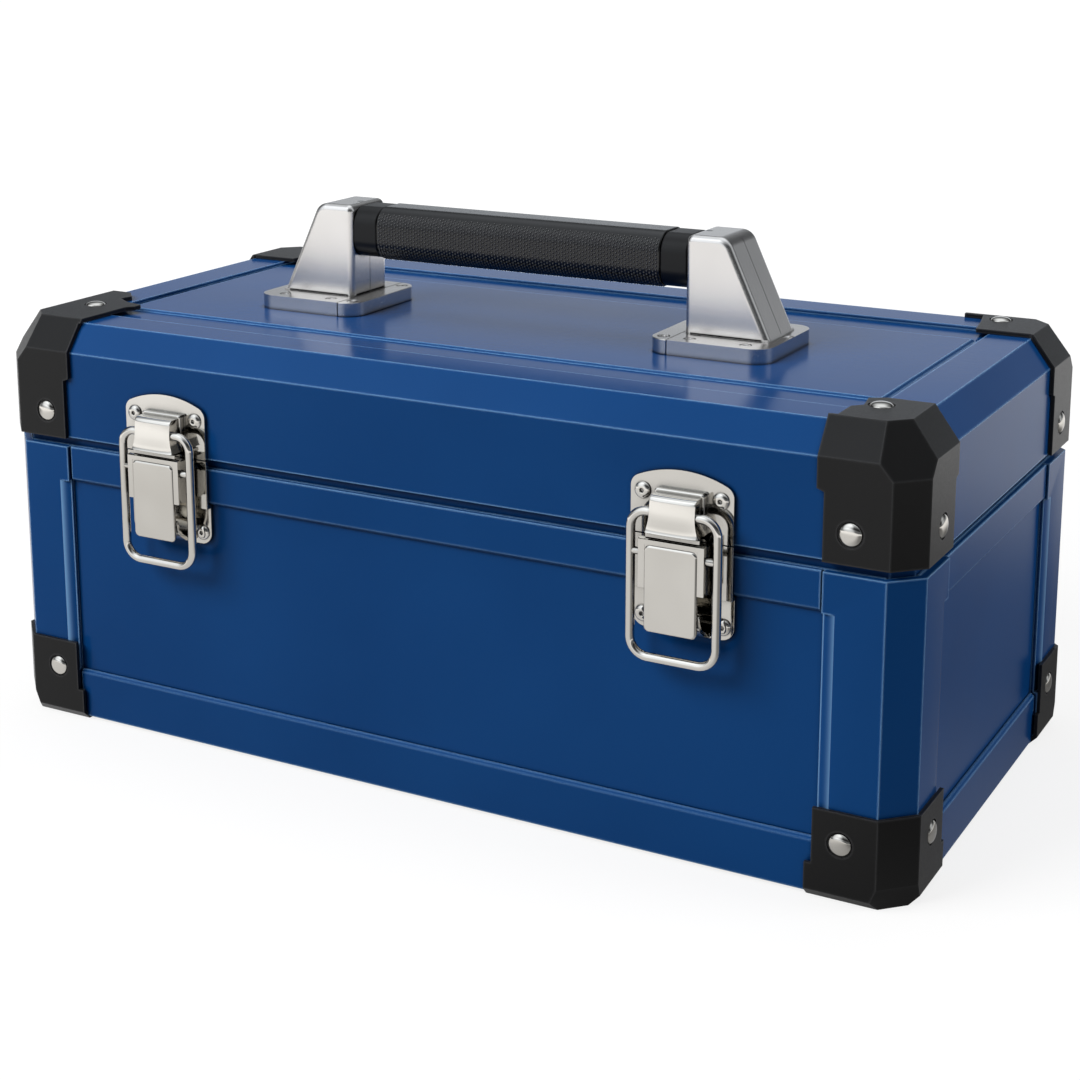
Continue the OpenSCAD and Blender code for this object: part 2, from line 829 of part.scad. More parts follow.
module catch_outline() {
  arch_z = catch_top - arch_r;
  corner_x = plate_w - catch_corner;
  corner_z = arch_z + sqrt(pow(arch_r - catch_corner, 2) - corner_x * corner_x);
  meet_x = corner_x * arch_r / (arch_r - catch_corner);
  translate([-plate_w, lid_low]) square([2 * plate_w, corner_z - lid_low]);
  for (side = [-1, 1]) translate([side * corner_x, corner_z]) circle(r = catch_corner);
  intersection() {
    translate([0, arch_z]) circle(r = arch_r, $fn = 192);
    translate([-meet_x, lid_low]) square([2 * meet_x, arch_r]);
  }
}

// Side view of the hood: outward distance and height
module hood_section() {
  front = bail_out + wire_r + hood_wall;
  polygon([
    [plate_t / 2, hood_top + hood_ledge], [plate_t + 2.6, hood_top + hood_ledge],
    [plate_t + 3.6, hood_top], [front - hood_r, hood_top], [front, hood_top - hood_r],
    [front, hood_low], [plate_t / 2, hood_low]
  ]);
  translate([front - hood_r, hood_top - hood_r]) circle(r = hood_r);
}

// Hollow of the hood, open below
module hood_hollow() {
  translate([hood_wall - hood_w, plate_t, hood_low - 1])
    cube([2 * (hood_w - hood_wall), bail_out + wire_r - plate_t,
      bail_z - wire_r - 2 * hood_wall - hood_low + 1]);
}

module catch(side) {
  color(nickel) in_frame() difference() {
    latch_at(side * latch_x) difference() {
      union() {
        inward(0, plate_t) catch_outline();
        across(hood_w) hood_section();
      }
      across(plate_w) translate([bail_out, bail_z]) circle(r = wire_r + pivot_fit);
      hood_hollow();
    }
    catch_screw_places() shank_hole(screw_shank_r, plate_t + 1);
  }
}

module left_catch() {
  catch(-1);
}

module right_catch() {
  catch(1);
}

module catch_screws() {
  color(nickel) in_frame() catch_screw_places() cross_screw(screw_r, screw_h, plate_t + lid_t);
}

// Quarter of a wire ring of bend radius r, in the plane of X and height, for x and z above 0
module wire_bend(r) {
  rotate([90, 0, 0]) rotate_extrude(angle = 90) translate([r, 0]) circle(r = wire_r);
}

module bail(side) {
  top = bail_z;
  low = bail_z - bail_len;
  color(nickel) in_frame() latch_at(side * latch_x) translate([0, bail_out, 0]) {
    across(bail_w - bail_top_r) translate([0, top]) circle(r = wire_r);
    across(bail_w - bail_low_r) translate([0, low]) circle(r = wire_r);
    for (end = [0, 1]) mirror([end, 0, 0]) {
      translate([bail_w, 0, low + bail_low_r])
        cylinder(r = wire_r, h = bail_len - bail_low_r - bail_top_r);
      translate([bail_w - bail_top_r, 0, top - bail_top_r]) wire_bend(bail_top_r);
      translate([bail_w - bail_low_r, 0, low + bail_low_r])
        mirror([0, 0, 1]) wire_bend(bail_low_r);
    }
    across(bail_w) translate([0, lever_z]) circle(r = wire_r);
  }
}

module left_bail() {
  bail(-1);
}

module right_bail() {
  bail(1);
}

// Side view of the lever's front skin: distance out from the pivot and height over it
module lever_skin() {
  nose_x = nose_r * sin(nose_lean);
  nose_z = nose_r * cos(nose_lean);
  top_out = sqrt(nose_r * nose_r - lever_face * lever_face);
  intersection() {
    circle(r = nose_r, $fn = 96);
    polygon([
      [nose_x - nose_l, nose_z - lever_t], [nose_x - nose_l, nose_z + 1], [lever_face, nose_z + 1],
      [lever_face, -nose_r], [lever_out, -nose_r], [lever_out, top_out - lever_t],
      [nose_x, nose_z - lever_t]
    ]);
  }
  translate([lever_out, -lever_len]) square([lever_t, lever_len + 1]);
}

module ear_section() {
  round_r = (ear_back + lever_out) / 2;
  intersection() {
    circle(r = nose_r, $fn = 96);
    translate([-ear_back, -1]) square([ear_back + lever_out + 0.1, nose_z() - lever_t / 2 + 1]);
  }
  translate([-ear_back, round_r - ear_low])
    square([2 * round_r, ear_low - round_r]);
  translate([round_r - ear_back, round_r - ear_low]) circle(r = round_r);
}

function nose_z() = nose_r * cos(nose_lean);

module lever_outline() {
  translate([-lever_w, lever_z - ear_low]) square([2 * lever_w, ear_low + nose_r]);
  translate([-blade_w, lever_z - lever_len + 2]) square([2 * blade_w, lever_len]);
  translate([2 - blade_w, lever_z - lever_len]) square([2 * (blade_w - 2), lever_len]);
  for (end = [-1, 1]) translate([end * (blade_w - 2), lever_z - lever_len + 2]) circle(r = 2);
}

module lever(side) {
  color(nickel) in_frame() latch_at(side * latch_x) difference() {
    union() {
      intersection() {
        across(lever_w) translate([bail_out, lever_z]) lever_skin();
        inward(0, 2 * bail_out) lever_outline();
      }
      for (end = [-1, 1]) translate([end * (lever_w - lever_t / 2), 0, 0])
        across(lever_t / 2) translate([bail_out, lever_z]) ear_section();
    }
    across(lever_w + 1) translate([bail_out, lever_z]) circle(r = wire_r + pivot_fit);
    lever_steps();
  }
}

// What is taken off the front skin beside and above its front plate
module lever_steps() {
  inner = bail_out + lever_face - lever_step;
  translate([0, 0, lever_z]) {
    for (end = [0, 1]) mirror([end, 0, 0])
      translate([blade_w, inner, -ear_low - 1])
        cube([lever_w, lever_step + 1, ear_low + nose_r + 2]);
    translate([-blade_w - 1, inner, blade_top])
      cube([2 * blade_w + 2, lever_step + 1, nose_r]);
  }
}

module left_lever() {
  lever(-1);
}

module right_lever() {
  lever(1);
}

// Side view of the keeper plate: it lies on the rail and steps down to the panel
module keeper_section() {
  polygon([
    [0, step_z], [0, keeper_top], [plate_t, keeper_top], [plate_t, step_z - plate_t],
    [plate_t - rail_t, step_z - plate_t], [plate_t - rail_t, keeper_low],
    [-rail_t, keeper_low], [-rail_t, step_z]
  ]);
}

// Side view of the hook: it curls round the lever's nose and ends flat above it
module hook_section() {
  inner = nose_r + hook_gap;
  difference() {
    translate([bail_out, lever_z]) circle(r = inner + plate_t, $fn = 96);
    translate([bail_out, lever_z]) circle(r = inner, $fn = 96);
    translate([bail_out, 0]) square([2 * nose_r, 2 * lever_z]);
    translate([0, lever_z - 2 * nose_r]) square([2 * bail_out, 2 * nose_r + hook_start]);
    translate([-nose_r, lever_z - nose_r]) square([nose_r + plate_t / 2, 3 * nose_r]);
  }
  translate([bail_out - 0.01, hook_z]) square([hook_out - bail_out + 0.01, plate_t]);
}

module keeper_outline() {
  r = 5;
  translate([-plate_w, keeper_low + r]) square([2 * plate_w, keeper_top - keeper_low - r]);
  translate([r - plate_w, keeper_low]) square([2 * (plate_w - r), r + 1]);
  for (end = [-1, 1]) translate([end * (plate_w - r), keeper_low + r]) circle(r = r);
}

// Side view of the bent tongue that the closed lever's blade rests near
module tongue_section() {
  tip = bail_out + lever_out - slack;
  root = plate_t - rail_t - 0.5;
  translate([0, keeper_low]) polygon([
    [root, 0], [root + 3.6, 0.8], [tip - 2.2, 4.2], [tip - 0.5, 7.2], [tip, 11],
    [tip - 1.1, 11.2], [tip - 1.8, 7.8], [tip - 3.3, 5.4], [root + 2.8, 2.2], [root, 1.8]
  ]);
}

module keeper(side) {
  color(nickel) in_frame() difference() {
    latch_at(side * latch_x) {
      intersection() {
        across(plate_w) keeper_section();
        inward(-rail_t, plate_t) keeper_outline();
      }
      across(hook_w) hook_section();
      across(tongue_w) tongue_section();
    }
    keeper_holes();
  }
}

module left_keeper() {
  keeper(-1);
}

module right_keeper() {
  keeper(1);
}

module keeper_screws() {
  color(nickel) in_frame() keeper_screw_places() cross_screw(screw_r, screw_h, plate_t + panel_t);
}

// Handle

// Places the handle, drawn about its own middle, on the lid
module handle_frame() {
  in_frame() translate([handle_x, 0, 0]) children();
}

// Moves a head-up piece to a bracket's screws, on both brackets
module bracket_screw_places() {
  seat_z = base_z + base_h - base_screw_h;
  front_y = base_front + base_screw_in;
  for (side = [-1, 1]) {
    for (x = [tower_in + base_screw_in, tower_out - base_screw_in])
      translate([side * x, front_y, seat_z]) children();
    for (y = [front_y, base_back - base_screw_in])
      translate([side * (base_in + tower_in) / 2, y, seat_z]) children();
    translate([side * (tower_out + base_out) / 2, grip_y, seat_z]) children();
  }
}

// Seats and holes of the bracket screws
module bracket_screw_holes() {
  bracket_screw_places() {
    shank_hole(screw_shank_r, base_h + 4);
    cylinder(r = base_screw_r + shank_fit, h = base_screw_h + 1);
  }
}

module base_plan() {
  r = base_r;
  x = base_out - base_in;
  y = base_back - base_front;
  translate([base_in + r, base_front]) square([x - 2 * r, y]);
  translate([base_in, base_front + r]) square([x, y - 2 * r]);
  for (x = [base_in + r, base_out - r], y = [base_front + r, base_back - r])
    translate([x, y]) circle(r = r);
}

// Front view of a tower: upright inner side, sloping outer side, rounded shoulders
module tower_view() {
  foot_z = base_z + base_h;
  lean = (tower_out - tower_shoulder) / (tower_top - foot_z);
  slant = sqrt(1 + lean * lean);
  round_x = tower_shoulder + tower_r * (lean - slant);
  round_z = tower_top - tower_r;
  polygon([
    [tower_in, foot_z], [tower_out, foot_z],
    [round_x + tower_r / slant, round_z + tower_r * lean / slant], [round_x, tower_top],
    [tower_in + edge_r, tower_top], [tower_in, tower_top - edge_r]
  ]);
  translate([tower_in + edge_r, tower_top - edge_r]) circle(r = edge_r);
  translate([round_x, round_z]) circle(r = tower_r);
}

// Plan outline of a tower, with rounded edges
module tower_plan() {
  r = edge_r;
  y = grip_y - tower_d / 2;
  translate([tower_in, y + r]) square([tower_out - tower_in + 1, tower_d - 2 * r]);
  translate([tower_in + r, y]) square([tower_out - tower_in + 1 - r, tower_d]);
  for (side = [y + r, y + tower_d - r]) translate([tower_in + r, side]) circle(r = r);
}

module bracket(side) {
  seam = 0.3;
  color(steel) handle_frame() at_corner(side, 1) difference() {
    union() {
      intersection() {
        translate([0, 0, base_z]) linear_extrude(base_h) base_plan();
        translate([tower_in - 1, -far / 2, 0]) cube([far, far, far]);
      }
      intersection() {
        inward(grip_y - tower_d / 2, grip_y + tower_d / 2) tower_view();
        translate([0, 0, base_z]) linear_extrude(tower_top) tower_plan();
      }
    }
    translate([tower_in - 1, grip_y - seam / 2, base_z + base_h])
      cube([1.5, seam, tower_top - base_z]);
    translate([tower_in + 4.2, grip_y, tower_top - 4]) cylinder(r = 1.6, h = 5);
    bracket_screw_holes();
  }
}

module left_bracket() {
  bracket(-1);
}

module right_bracket() {
  bracket(1);
}

module bracket_foot(side) {
  color(steel) handle_frame() at_corner(side, 1) difference() {
    intersection() {
      translate([0, 0, base_z]) linear_extrude(base_h) base_plan();
      translate([base_in - 1, -far / 2, 0]) cube([tower_in - base_in - slack, far, far]);
    }
    bracket_screw_holes();
  }
}

module left_bracket_foot() {
  bracket_foot(-1);
}

module right_bracket_foot() {
  bracket_foot(1);
}

module bracket_screws() {
  color(steel) handle_frame() bracket_screw_places()
    cross_screw(base_screw_r, base_screw_h, base_h);
}

module handle_bar() {
  color(steel) handle_frame() translate([0, grip_y, grip_z]) rotate([0, 90, 0])
    cylinder(r = bar_r, h = 2 * tower_in, center = true);
}

// Rounded section of the grip, made smaller by inset all round
module grip_section(inset) {
  x = grip_d / 2 - inset;
  z = grip_h / 2 - inset;
  r = grip_r - inset;
  difference() {
    union() {
      square([2 * x, 2 * (z - r)], center = true);
      square([2 * (x - r), 2 * z], center = true);
      for (sx = [-1, 1], sz = [-1, 1]) translate([sx * (x - r), sz * (z - r)]) circle(r = r);
    }
    circle(r = bar_r + bar_fit);
  }
}

module grip() {
  color(hide) handle_frame() translate([0, grip_y, grip_z])
    across(tower_in - collar_len) grip_section(0);
}

module collar(side) {
  color(black) handle_frame() at_corner(side, 1)
    translate([tower_in - collar_len / 2, grip_y, grip_z])
      across(collar_len / 2) grip_section(collar_in);
}

module left_collar() {
  collar(-1);
}

module right_collar() {
  collar(1);
}

// Hinges

// Moves a head-up piece to the rivets of the body leaves (part -1) or lid leaves (part 1)
module leaf_rivet_places(part) {
  for (side = [-1, 1], end = [-1, 0, 1])
    translate([side * hinge_x + end * (hinge_w / 2 - 7), rail_y + leaf_t,
      hinge_z + part * (leaf_h / 2 + 4)])
      rotate([-90, 0, 0]) children();
}

// Hinge leaf: part 1 goes up the lid with the middle knuckle, part -1 down the body with two
module leaf(side, part) {
  third = hinge_w / 6;
  bore = part > 0 ? pin_r + pivot_fit : pin_r;
  spans = part > 0 ? [[-third, third]] : [[-3 * third, -third - knuckle_gap],
    [third + knuckle_gap, 3 * third]];
  color(nickel) in_frame() difference() {
    translate([side * hinge_x, 0, 0]) union() {
      translate([-hinge_w / 2, rail_y, part > 0 ? hinge_z + 4 : hinge_z - 4 - leaf_h])
        cube([hinge_w, leaf_t, leaf_h]);
      for (span = spans) {
        translate([span[0], rail_y, part > 0 ? hinge_z : hinge_z - 5])
          cube([span[1] - span[0], leaf_t, 5]);
        translate([span[0], hinge_y, hinge_z]) rotate([0, 90, 0])
          cylinder(r = knuckle_r, h = span[1] - span[0]);
      }
    }
    translate([side * hinge_x - hinge_w / 2 - 1, hinge_y, hinge_z]) rotate([0, 90, 0])
      cylinder(r = bore, h = hinge_w + 2);
    leaf_rivet_places(part) shank_hole(rivet_shank_r, leaf_t + 1);
  }
}

module left_body_leaf() {
  leaf(-1, -1);
}

module right_body_leaf() {
  leaf(1, -1);
}

module left_lid_leaf() {
  leaf(-1, 1);
}

module right_lid_leaf() {
  leaf(1, 1);
}

module hinge_pins() {
  color(nickel) in_frame() for (side = [-1, 1])
    translate([side * hinge_x - hinge_w / 2, hinge_y, hinge_z]) rotate([0, 90, 0])
      cylinder(r = pin_r, h = hinge_w);
}

module body_leaf_rivets() {
  color(nickel) in_frame() leaf_rivet_places(-1)
    rivet(2.8, 1.2, rivet_shank_r, leaf_t + rail_t);
}

module lid_leaf_rivets() {
  color(nickel) in_frame() leaf_rivet_places(1)
    rivet(2.8, 1.2, rivet_shank_r, leaf_t + lid_t);
}

floor_panel();
front_panel();
back_panel();
left_panel();
right_panel();
front_left_post();
front_right_post();
back_left_post();
back_right_post();
top_front_rail();
top_back_rail();
top_left_rail();
top_right_rail();
bottom_front_rail();
bottom_back_rail();
bottom_left_rail();
bottom_right_rail();
centring_lip();
front_left_foot();
front_right_foot();
back_left_foot();
back_right_foot();
foot_rivets();
left_keeper();
right_keeper();
keeper_screws();
left_body_leaf();
right_body_leaf();
hinge_pins();
body_leaf_rivets();
lid_panel();
lid_front_rail();
lid_back_rail();
lid_left_rail();
lid_right_rail();
front_left_cap();
front_right_cap();
back_left_cap();
back_right_cap();
cap_rivets();
left_catch();
right_catch();
catch_screws();
left_lid_leaf();
right_lid_leaf();
lid_leaf_rivets();
left_bracket();
right_bracket();
left_bracket_foot();
right_bracket_foot();
bracket_screws();
handle_bar();
grip();
left_collar();
right_collar();
left_bail();
right_bail();
left_lever();
right_lever();
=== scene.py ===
import math
import json
import random
import bpy
import bmesh
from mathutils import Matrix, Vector


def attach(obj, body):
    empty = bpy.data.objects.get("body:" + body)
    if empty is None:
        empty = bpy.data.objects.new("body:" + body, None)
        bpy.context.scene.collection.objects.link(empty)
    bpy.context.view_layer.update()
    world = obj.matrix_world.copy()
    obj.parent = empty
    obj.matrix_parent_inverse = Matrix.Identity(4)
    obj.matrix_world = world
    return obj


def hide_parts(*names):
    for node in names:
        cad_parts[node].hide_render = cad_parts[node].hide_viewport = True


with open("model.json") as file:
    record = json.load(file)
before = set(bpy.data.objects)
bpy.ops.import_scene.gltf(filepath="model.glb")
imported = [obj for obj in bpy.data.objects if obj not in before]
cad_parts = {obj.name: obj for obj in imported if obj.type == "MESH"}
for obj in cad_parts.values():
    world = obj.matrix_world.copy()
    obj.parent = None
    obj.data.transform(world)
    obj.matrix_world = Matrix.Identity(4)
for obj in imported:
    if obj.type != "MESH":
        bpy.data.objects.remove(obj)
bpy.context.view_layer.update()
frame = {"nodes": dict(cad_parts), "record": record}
print("frame loaded")

scene = bpy.context.scene
slotOf = {part["node"]: part["material_slot"] for part in frame["record"]["subparts"]}
bodyOf = {node: body for body, nodes in frame["record"]["behaviour"]["bodies"].items() for node in nodes}
shiftY = 0.00215  # the box's middle stands this far behind the frame's
gripY = -0.002 + shiftY
handleX = -0.003  # the handle stands a little left of the middle


# camera: place in metres, down and turn in degrees, length in millimetres, shift as a share of the frame
lens = {"place": (0.39461, -0.72525, 0.34619), "down": 12.022, "turn": 28.431,
        "length": 67.59, "shift": -0.2}
camera = bpy.data.objects.new("camera", bpy.data.cameras.new("camera"))
camera.location = Vector(lens["place"]) + Vector((0, shiftY, 0))
camera.rotation_euler = (math.radians(90 - lens["down"]), 0, math.radians(lens["turn"]))
camera.data.lens = lens["length"]
camera.data.shift_y = lens["shift"]
scene.collection.objects.link(camera)
scene.camera = camera
scene.view_settings.view_transform = "Standard"


# nodes
def wire(tree, source, target):
    tree.links.new(source, target)


def addNode(tree, kind, **settings):
    node = tree.nodes.new(kind)
    for key, value in settings.items():
        setattr(node, key, value)
    return node


def mathNode(tree, operation, first, second=None):
    node = addNode(tree, "ShaderNodeMath", operation=operation)
    for index, value in enumerate((first, second)):
        if value is None:
            continue
        if isinstance(value, (int, float)):
            node.inputs[index].default_value = value
        else:
            wire(tree, value, node.inputs[index])
    return node.outputs[0]


def mapRange(tree, value, low, high, start=0.3, end=0.7, kind="LINEAR"):
    node = addNode(tree, "ShaderNodeMapRange", interpolation_type=kind)
    wire(tree, value, node.inputs["Value"])
    for label, number in (("From Min", start), ("From Max", end), ("To Min", low), ("To Max", high)):
        node.inputs[label].default_value = number
    return node.outputs["Result"]


def vectorMath(tree, operation, first, second):
    node = addNode(tree, "ShaderNodeVectorMath", operation=operation)
    wire(tree, first, node.inputs[0])
    node.inputs[1].default_value = second
    return node.outputs["Value"]


def blendColour(tree, share, first, second):
    node = addNode(tree, "ShaderNodeMix", data_type="RGBA")
    wire(tree, share, node.inputs[0])
    wire(tree, first, node.inputs[6])
    node.inputs[7].default_value = (*second, 1)
    return node.outputs[2]


def noiseNode(tree, vector, **values):
    node = addNode(tree, "ShaderNodeTexNoise")
    wire(tree, vector, node.inputs["Vector"])
    for label, value in values.items():
        node.inputs[label].default_value = value
    return node


# studio
# darkSides: direction, the cosines where it begins and is full, and the share taken away (below zero adds)
# glows: direction, width as a cosine and strength
sky = {"diffuse": 0.20, "tint": (0.89, 0.94, 1.0),
       "horizon": (0.86, 0.17), "horizonBand": (0.20, 0.33), "overhead": 0.75, "overheadBand": (0.45, 0.8),
       "darkSides": [((0.76, -0.65, 0), 0.12, 0.9, 0.80), ((-0.98, -0.17, 0), 0.15, 0.9, 0.7),
                     ((0.5, 0.72, 0.48), 0.72, 0.97, 0.7), ((-0.42, -0.90, 0.06), 0.80, 0.97, -1.0)],
       "glows": [((-0.49, -0.65, 0.58), 0.22, 1.3), ((0.84, 0.22, 0.5), 0.12, 0.5),
                 ((-0.1, 0.16, 0.98), 0.2, 0.4)]}


def buildWorld():
    # white all round for the camera, with darker sides and soft bright patches for reflections
    world = bpy.data.worlds.new("studio")
    scene.world = world
    world.use_nodes = True
    tree = world.node_tree
    back = tree.nodes["Background"]
    rays = addNode(tree, "ShaderNodeLightPath")
    glossy = rays.outputs["Is Glossy Ray"]
    way = addNode(tree, "ShaderNodeTexCoord").outputs["Generated"]
    white = addNode(tree, "ShaderNodeRGB")
    white.outputs[0].default_value = (1, 1, 1, 1)
    wire(tree, blendColour(tree, glossy, white.outputs[0], sky["tint"]), back.inputs["Color"])
    high = vectorMath(tree, "DOT_PRODUCT", way, (0, 0, 1))
    gloss = mathNode(tree, "ADD", mapRange(tree, high, *sky["horizon"], *sky["horizonBand"], "SMOOTHSTEP"),
                     mapRange(tree, high, 0.0, sky["overhead"], *sky["overheadBand"], "SMOOTHSTEP"))
    for side, begins, full, depth in sky["darkSides"]:
        toward = vectorMath(tree, "DOT_PRODUCT", way, side)
        share = mapRange(tree, toward, 1.0, 1 - depth, begins, full, "SMOOTHSTEP")
        gloss = mathNode(tree, "MULTIPLY", gloss, share)
    for side, width, strength in sky["glows"]:
        toward = vectorMath(tree, "DOT_PRODUCT", way, side)
        patch = mapRange(tree, toward, 0.0, strength, 1 - width, 1.0, "SMOOTHSTEP")
        gloss = mathNode(tree, "ADD", gloss, patch)
    clear = mathNode(tree, "MULTIPLY", rays.outputs["Is Camera Ray"], 1 - sky["diffuse"])
    shine = mathNode(tree, "MULTIPLY", glossy, mathNode(tree, "SUBTRACT", gloss, sky["diffuse"]))
    level = mathNode(tree, "ADD", mathNode(tree, "ADD", shine, clear), sky["diffuse"])
    wire(tree, level, back.inputs["Strength"])


# darkSpots: place, the distances between which it fades out, and the share left in its middle
ground = {"reach": 6.0, "colour": 0.22, "rough": 0.9, "glow": (0.80, 1.0), "glowBand": (0.5, 1.6),
          "gloss": (0.58, 0.95), "glossBand": (0.45, 1.0),
          "darkSpots": [((0.60, -0.36, 0), 0.16, 0.46, 0.04), ((-0.85, -0.1, 0), 0.2, 0.5, 0.1),
                        ((0.27, 0.18, 0), 0.05, 0.32, 0.03), ((0.38, -0.15, 0), 0.1, 0.32, 0.04)]}


def buildFloor():
    # a floor that glows white for the camera and is darker close to the box in reflections
    reach, grey = ground["reach"], ground["colour"]
    corners = [(-reach, -reach, 0), (reach, -reach, 0), (reach, reach, 0), (-reach, reach, 0)]
    mesh = bpy.data.meshes.new("studioFloor")
    mesh.from_pydata(corners, [], [(0, 1, 2, 3)])
    floor = bpy.data.objects.new("studioFloor", mesh)
    scene.collection.objects.link(floor)
    material = bpy.data.materials.new("studioFloor")
    material.use_nodes = True
    tree = material.node_tree
    surface = tree.nodes["Principled BSDF"]
    surface.inputs["Base Color"].default_value = (grey, grey, grey, 1)
    surface.inputs["Roughness"].default_value = ground["rough"]
    surface.inputs["Specular IOR Level"].default_value = 0.0
    surface.inputs["Emission Color"].default_value = (1, 1, 1, 1)
    rays = addNode(tree, "ShaderNodeLightPath")
    where = addNode(tree, "ShaderNodeTexCoord").outputs["Object"]
    away = vectorMath(tree, "DISTANCE", where, (0, 0, 0))
    glow = mapRange(tree, away, *ground["glow"], *ground["glowBand"])
    gloss = mapRange(tree, away, *ground["gloss"], *ground["glossBand"], "SMOOTHSTEP")
    for spot, near, far, left in ground["darkSpots"]:
        fromSpot = vectorMath(tree, "DISTANCE", where, spot)
        share = mapRange(tree, fromSpot, left, 1.0, near, far, "SMOOTHSTEP")
        gloss = mathNode(tree, "MULTIPLY", gloss, share)
    seen = mathNode(tree, "MULTIPLY", rays.outputs["Is Camera Ray"], glow)
    shine = mathNode(tree, "MULTIPLY", rays.outputs["Is Glossy Ray"], gloss)
    wire(tree, mathNode(tree, "ADD", seen, shine), surface.inputs["Emission Strength"])
    mesh.materials.append(material)


# place, size and power of each lamp
lamps = [((-1.15, -1.5, 1.45), (1.6, 1.0), 48.0), ((1.5, 0.45, 0.7), (0.8, 0.8), 10.0),
         ((-0.2, 0.3, 1.9), (1.6, 1.2), 12.0)]
lampTarget = (0, 0, 0.1)


def buildLamps():
    for index, (place, size, power) in enumerate(lamps):
        light = bpy.data.lights.new("softLamp%d" % index, "AREA")
        light.shape = "RECTANGLE"
        light.size, light.size_y = size
        light.energy = power
        lamp = bpy.data.objects.new("softLamp%d" % index, light)
        lamp.location = place
        lamp.rotation_euler = (Vector(lampTarget) - Vector(place)).to_track_quat("-Z", "Y").to_euler()
        lamp.visible_glossy = False
        scene.collection.objects.link(lamp)


buildWorld()
buildFloor()
buildLamps()
print("studio built")


# shared surface effects
def newGroup(name, inputs, outputs):
    group = bpy.data.node_groups.new(name, "ShaderNodeTree")
    for label, kind, value in inputs:
        socket = group.interface.new_socket(label, in_out="INPUT", socket_type="NodeSocket" + kind)
        if value is not None:
            socket.default_value = value
    for label in outputs:
        group.interface.new_socket(label, in_out="OUTPUT", socket_type="NodeSocketFloat")
    return group, addNode(group, "NodeGroupInput"), addNode(group, "NodeGroupOutput")


def grainGroup():
    # streaks drawn out along one axis, and a slow cloud
    inputs = [("Vector", "Vector", None), ("Stretch", "Vector", (1, 1, 1)), ("Fineness", "Float", 1500.0)]
    group, ins, outs = newGroup("grain", inputs, ("Streaks", "Clouds"))
    pull = addNode(group, "ShaderNodeVectorMath", operation="MULTIPLY")
    wire(group, ins.outputs["Vector"], pull.inputs[0])
    wire(group, ins.outputs["Stretch"], pull.inputs[1])
    fine = noiseNode(group, pull.outputs[0], Detail=3, Roughness=0.6)
    wire(group, ins.outputs["Fineness"], fine.inputs["Scale"])
    cloud = noiseNode(group, ins.outputs["Vector"], Scale=22, Detail=2)
    wire(group, fine.outputs["Fac"], outs.inputs["Streaks"])
    wire(group, cloud.outputs["Fac"], outs.inputs["Clouds"])
    return group


def peelGroup():
    # the slight waviness of sprayed paint, the dust-fine texture of moulded plastic, and a slow cloud
    inputs = [("Vector", "Vector", None), ("Wave", "Float", 260.0), ("Speck", "Float", 2600.0),
              ("Mix", "Float", 0.5)]
    group, ins, outs = newGroup("peel", inputs, ("Height", "Clouds"))
    blend = addNode(group, "ShaderNodeMix", data_type="FLOAT")
    wire(group, ins.outputs["Mix"], blend.inputs[0])
    for label, detail, index in (("Wave", 1, 2), ("Speck", 2, 3)):
        noise = noiseNode(group, ins.outputs["Vector"], Detail=detail)
        wire(group, ins.outputs[label], noise.inputs["Scale"])
        wire(group, noise.outputs["Fac"], blend.inputs[index])
    cloud = noiseNode(group, ins.outputs["Vector"], Scale=9, Detail=3)
    wire(group, blend.outputs[0], outs.inputs["Height"])
    wire(group, cloud.outputs["Fac"], outs.inputs["Clouds"])
    return group


# how straight a surface still counts as an edge for the painted highlight, and how open as a crease for the
# painted shade
wear = {"edgeBand": (0.95, 0.998), "creaseBand": (0.38, 0.85)}


def edgeGroup():
    # one mask that rises where the surface turns a corner, for painted highlights, and one that rises in
    # creases, for painted shade
    inputs = [("Radius", "Float", 0.001), ("Reach", "Float", 0.003)]
    group, ins, outs = newGroup("edges", inputs, ("Edge", "Crease"))
    rounded = addNode(group, "ShaderNodeBevel", samples=4)
    wire(group, ins.outputs["Radius"], rounded.inputs["Radius"])
    flat = addNode(group, "ShaderNodeNewGeometry")
    match = addNode(group, "ShaderNodeVectorMath", operation="DOT_PRODUCT")
    wire(group, rounded.outputs["Normal"], match.inputs[0])
    wire(group, flat.outputs["True Normal"], match.inputs[1])
    edge = mapRange(group, match.outputs["Value"], 1.0, 0.0, *wear["edgeBand"], "SMOOTHSTEP")
    wire(group, edge, outs.inputs["Edge"])
    shade = addNode(group, "ShaderNodeAmbientOcclusion", samples=6)
    wire(group, ins.outputs["Reach"], shade.inputs["Distance"])
    wire(group, mapRange(group, shade.outputs["AO"], 1.0, 0.0, *wear["creaseBand"]), outs.inputs["Crease"])
    return group


grain = grainGroup()
peel = peelGroup()
edges = edgeGroup()


# finishes
def newFinish(name):
    material = bpy.data.materials.new(name)
    material.use_nodes = True
    tree = material.node_tree
    where = addNode(tree, "ShaderNodeTexCoord")
    return material, tree, tree.nodes["Principled BSDF"], where.outputs["Object"]


def placeGroup(tree, group, where, **values):
    node = addNode(tree, "ShaderNodeGroup", node_tree=group)
    if where:
        wire(tree, where, node.inputs["Vector"])
    for key, value in values.items():
        node.inputs[key].default_value = value
    return node


def colourRamp(tree, factor, look):
    # from the deep to the light colour over the middle of the factor's range
    ramp = addNode(tree, "ShaderNodeValToRGB")
    for end, position, colour in zip(ramp.color_ramp.elements, (0.35, 0.65), (look["deep"], look["light"])):
        end.position = position
        end.color = (*colour, 1)
    wire(tree, factor, ramp.inputs["Fac"])
    return ramp.outputs["Color"]


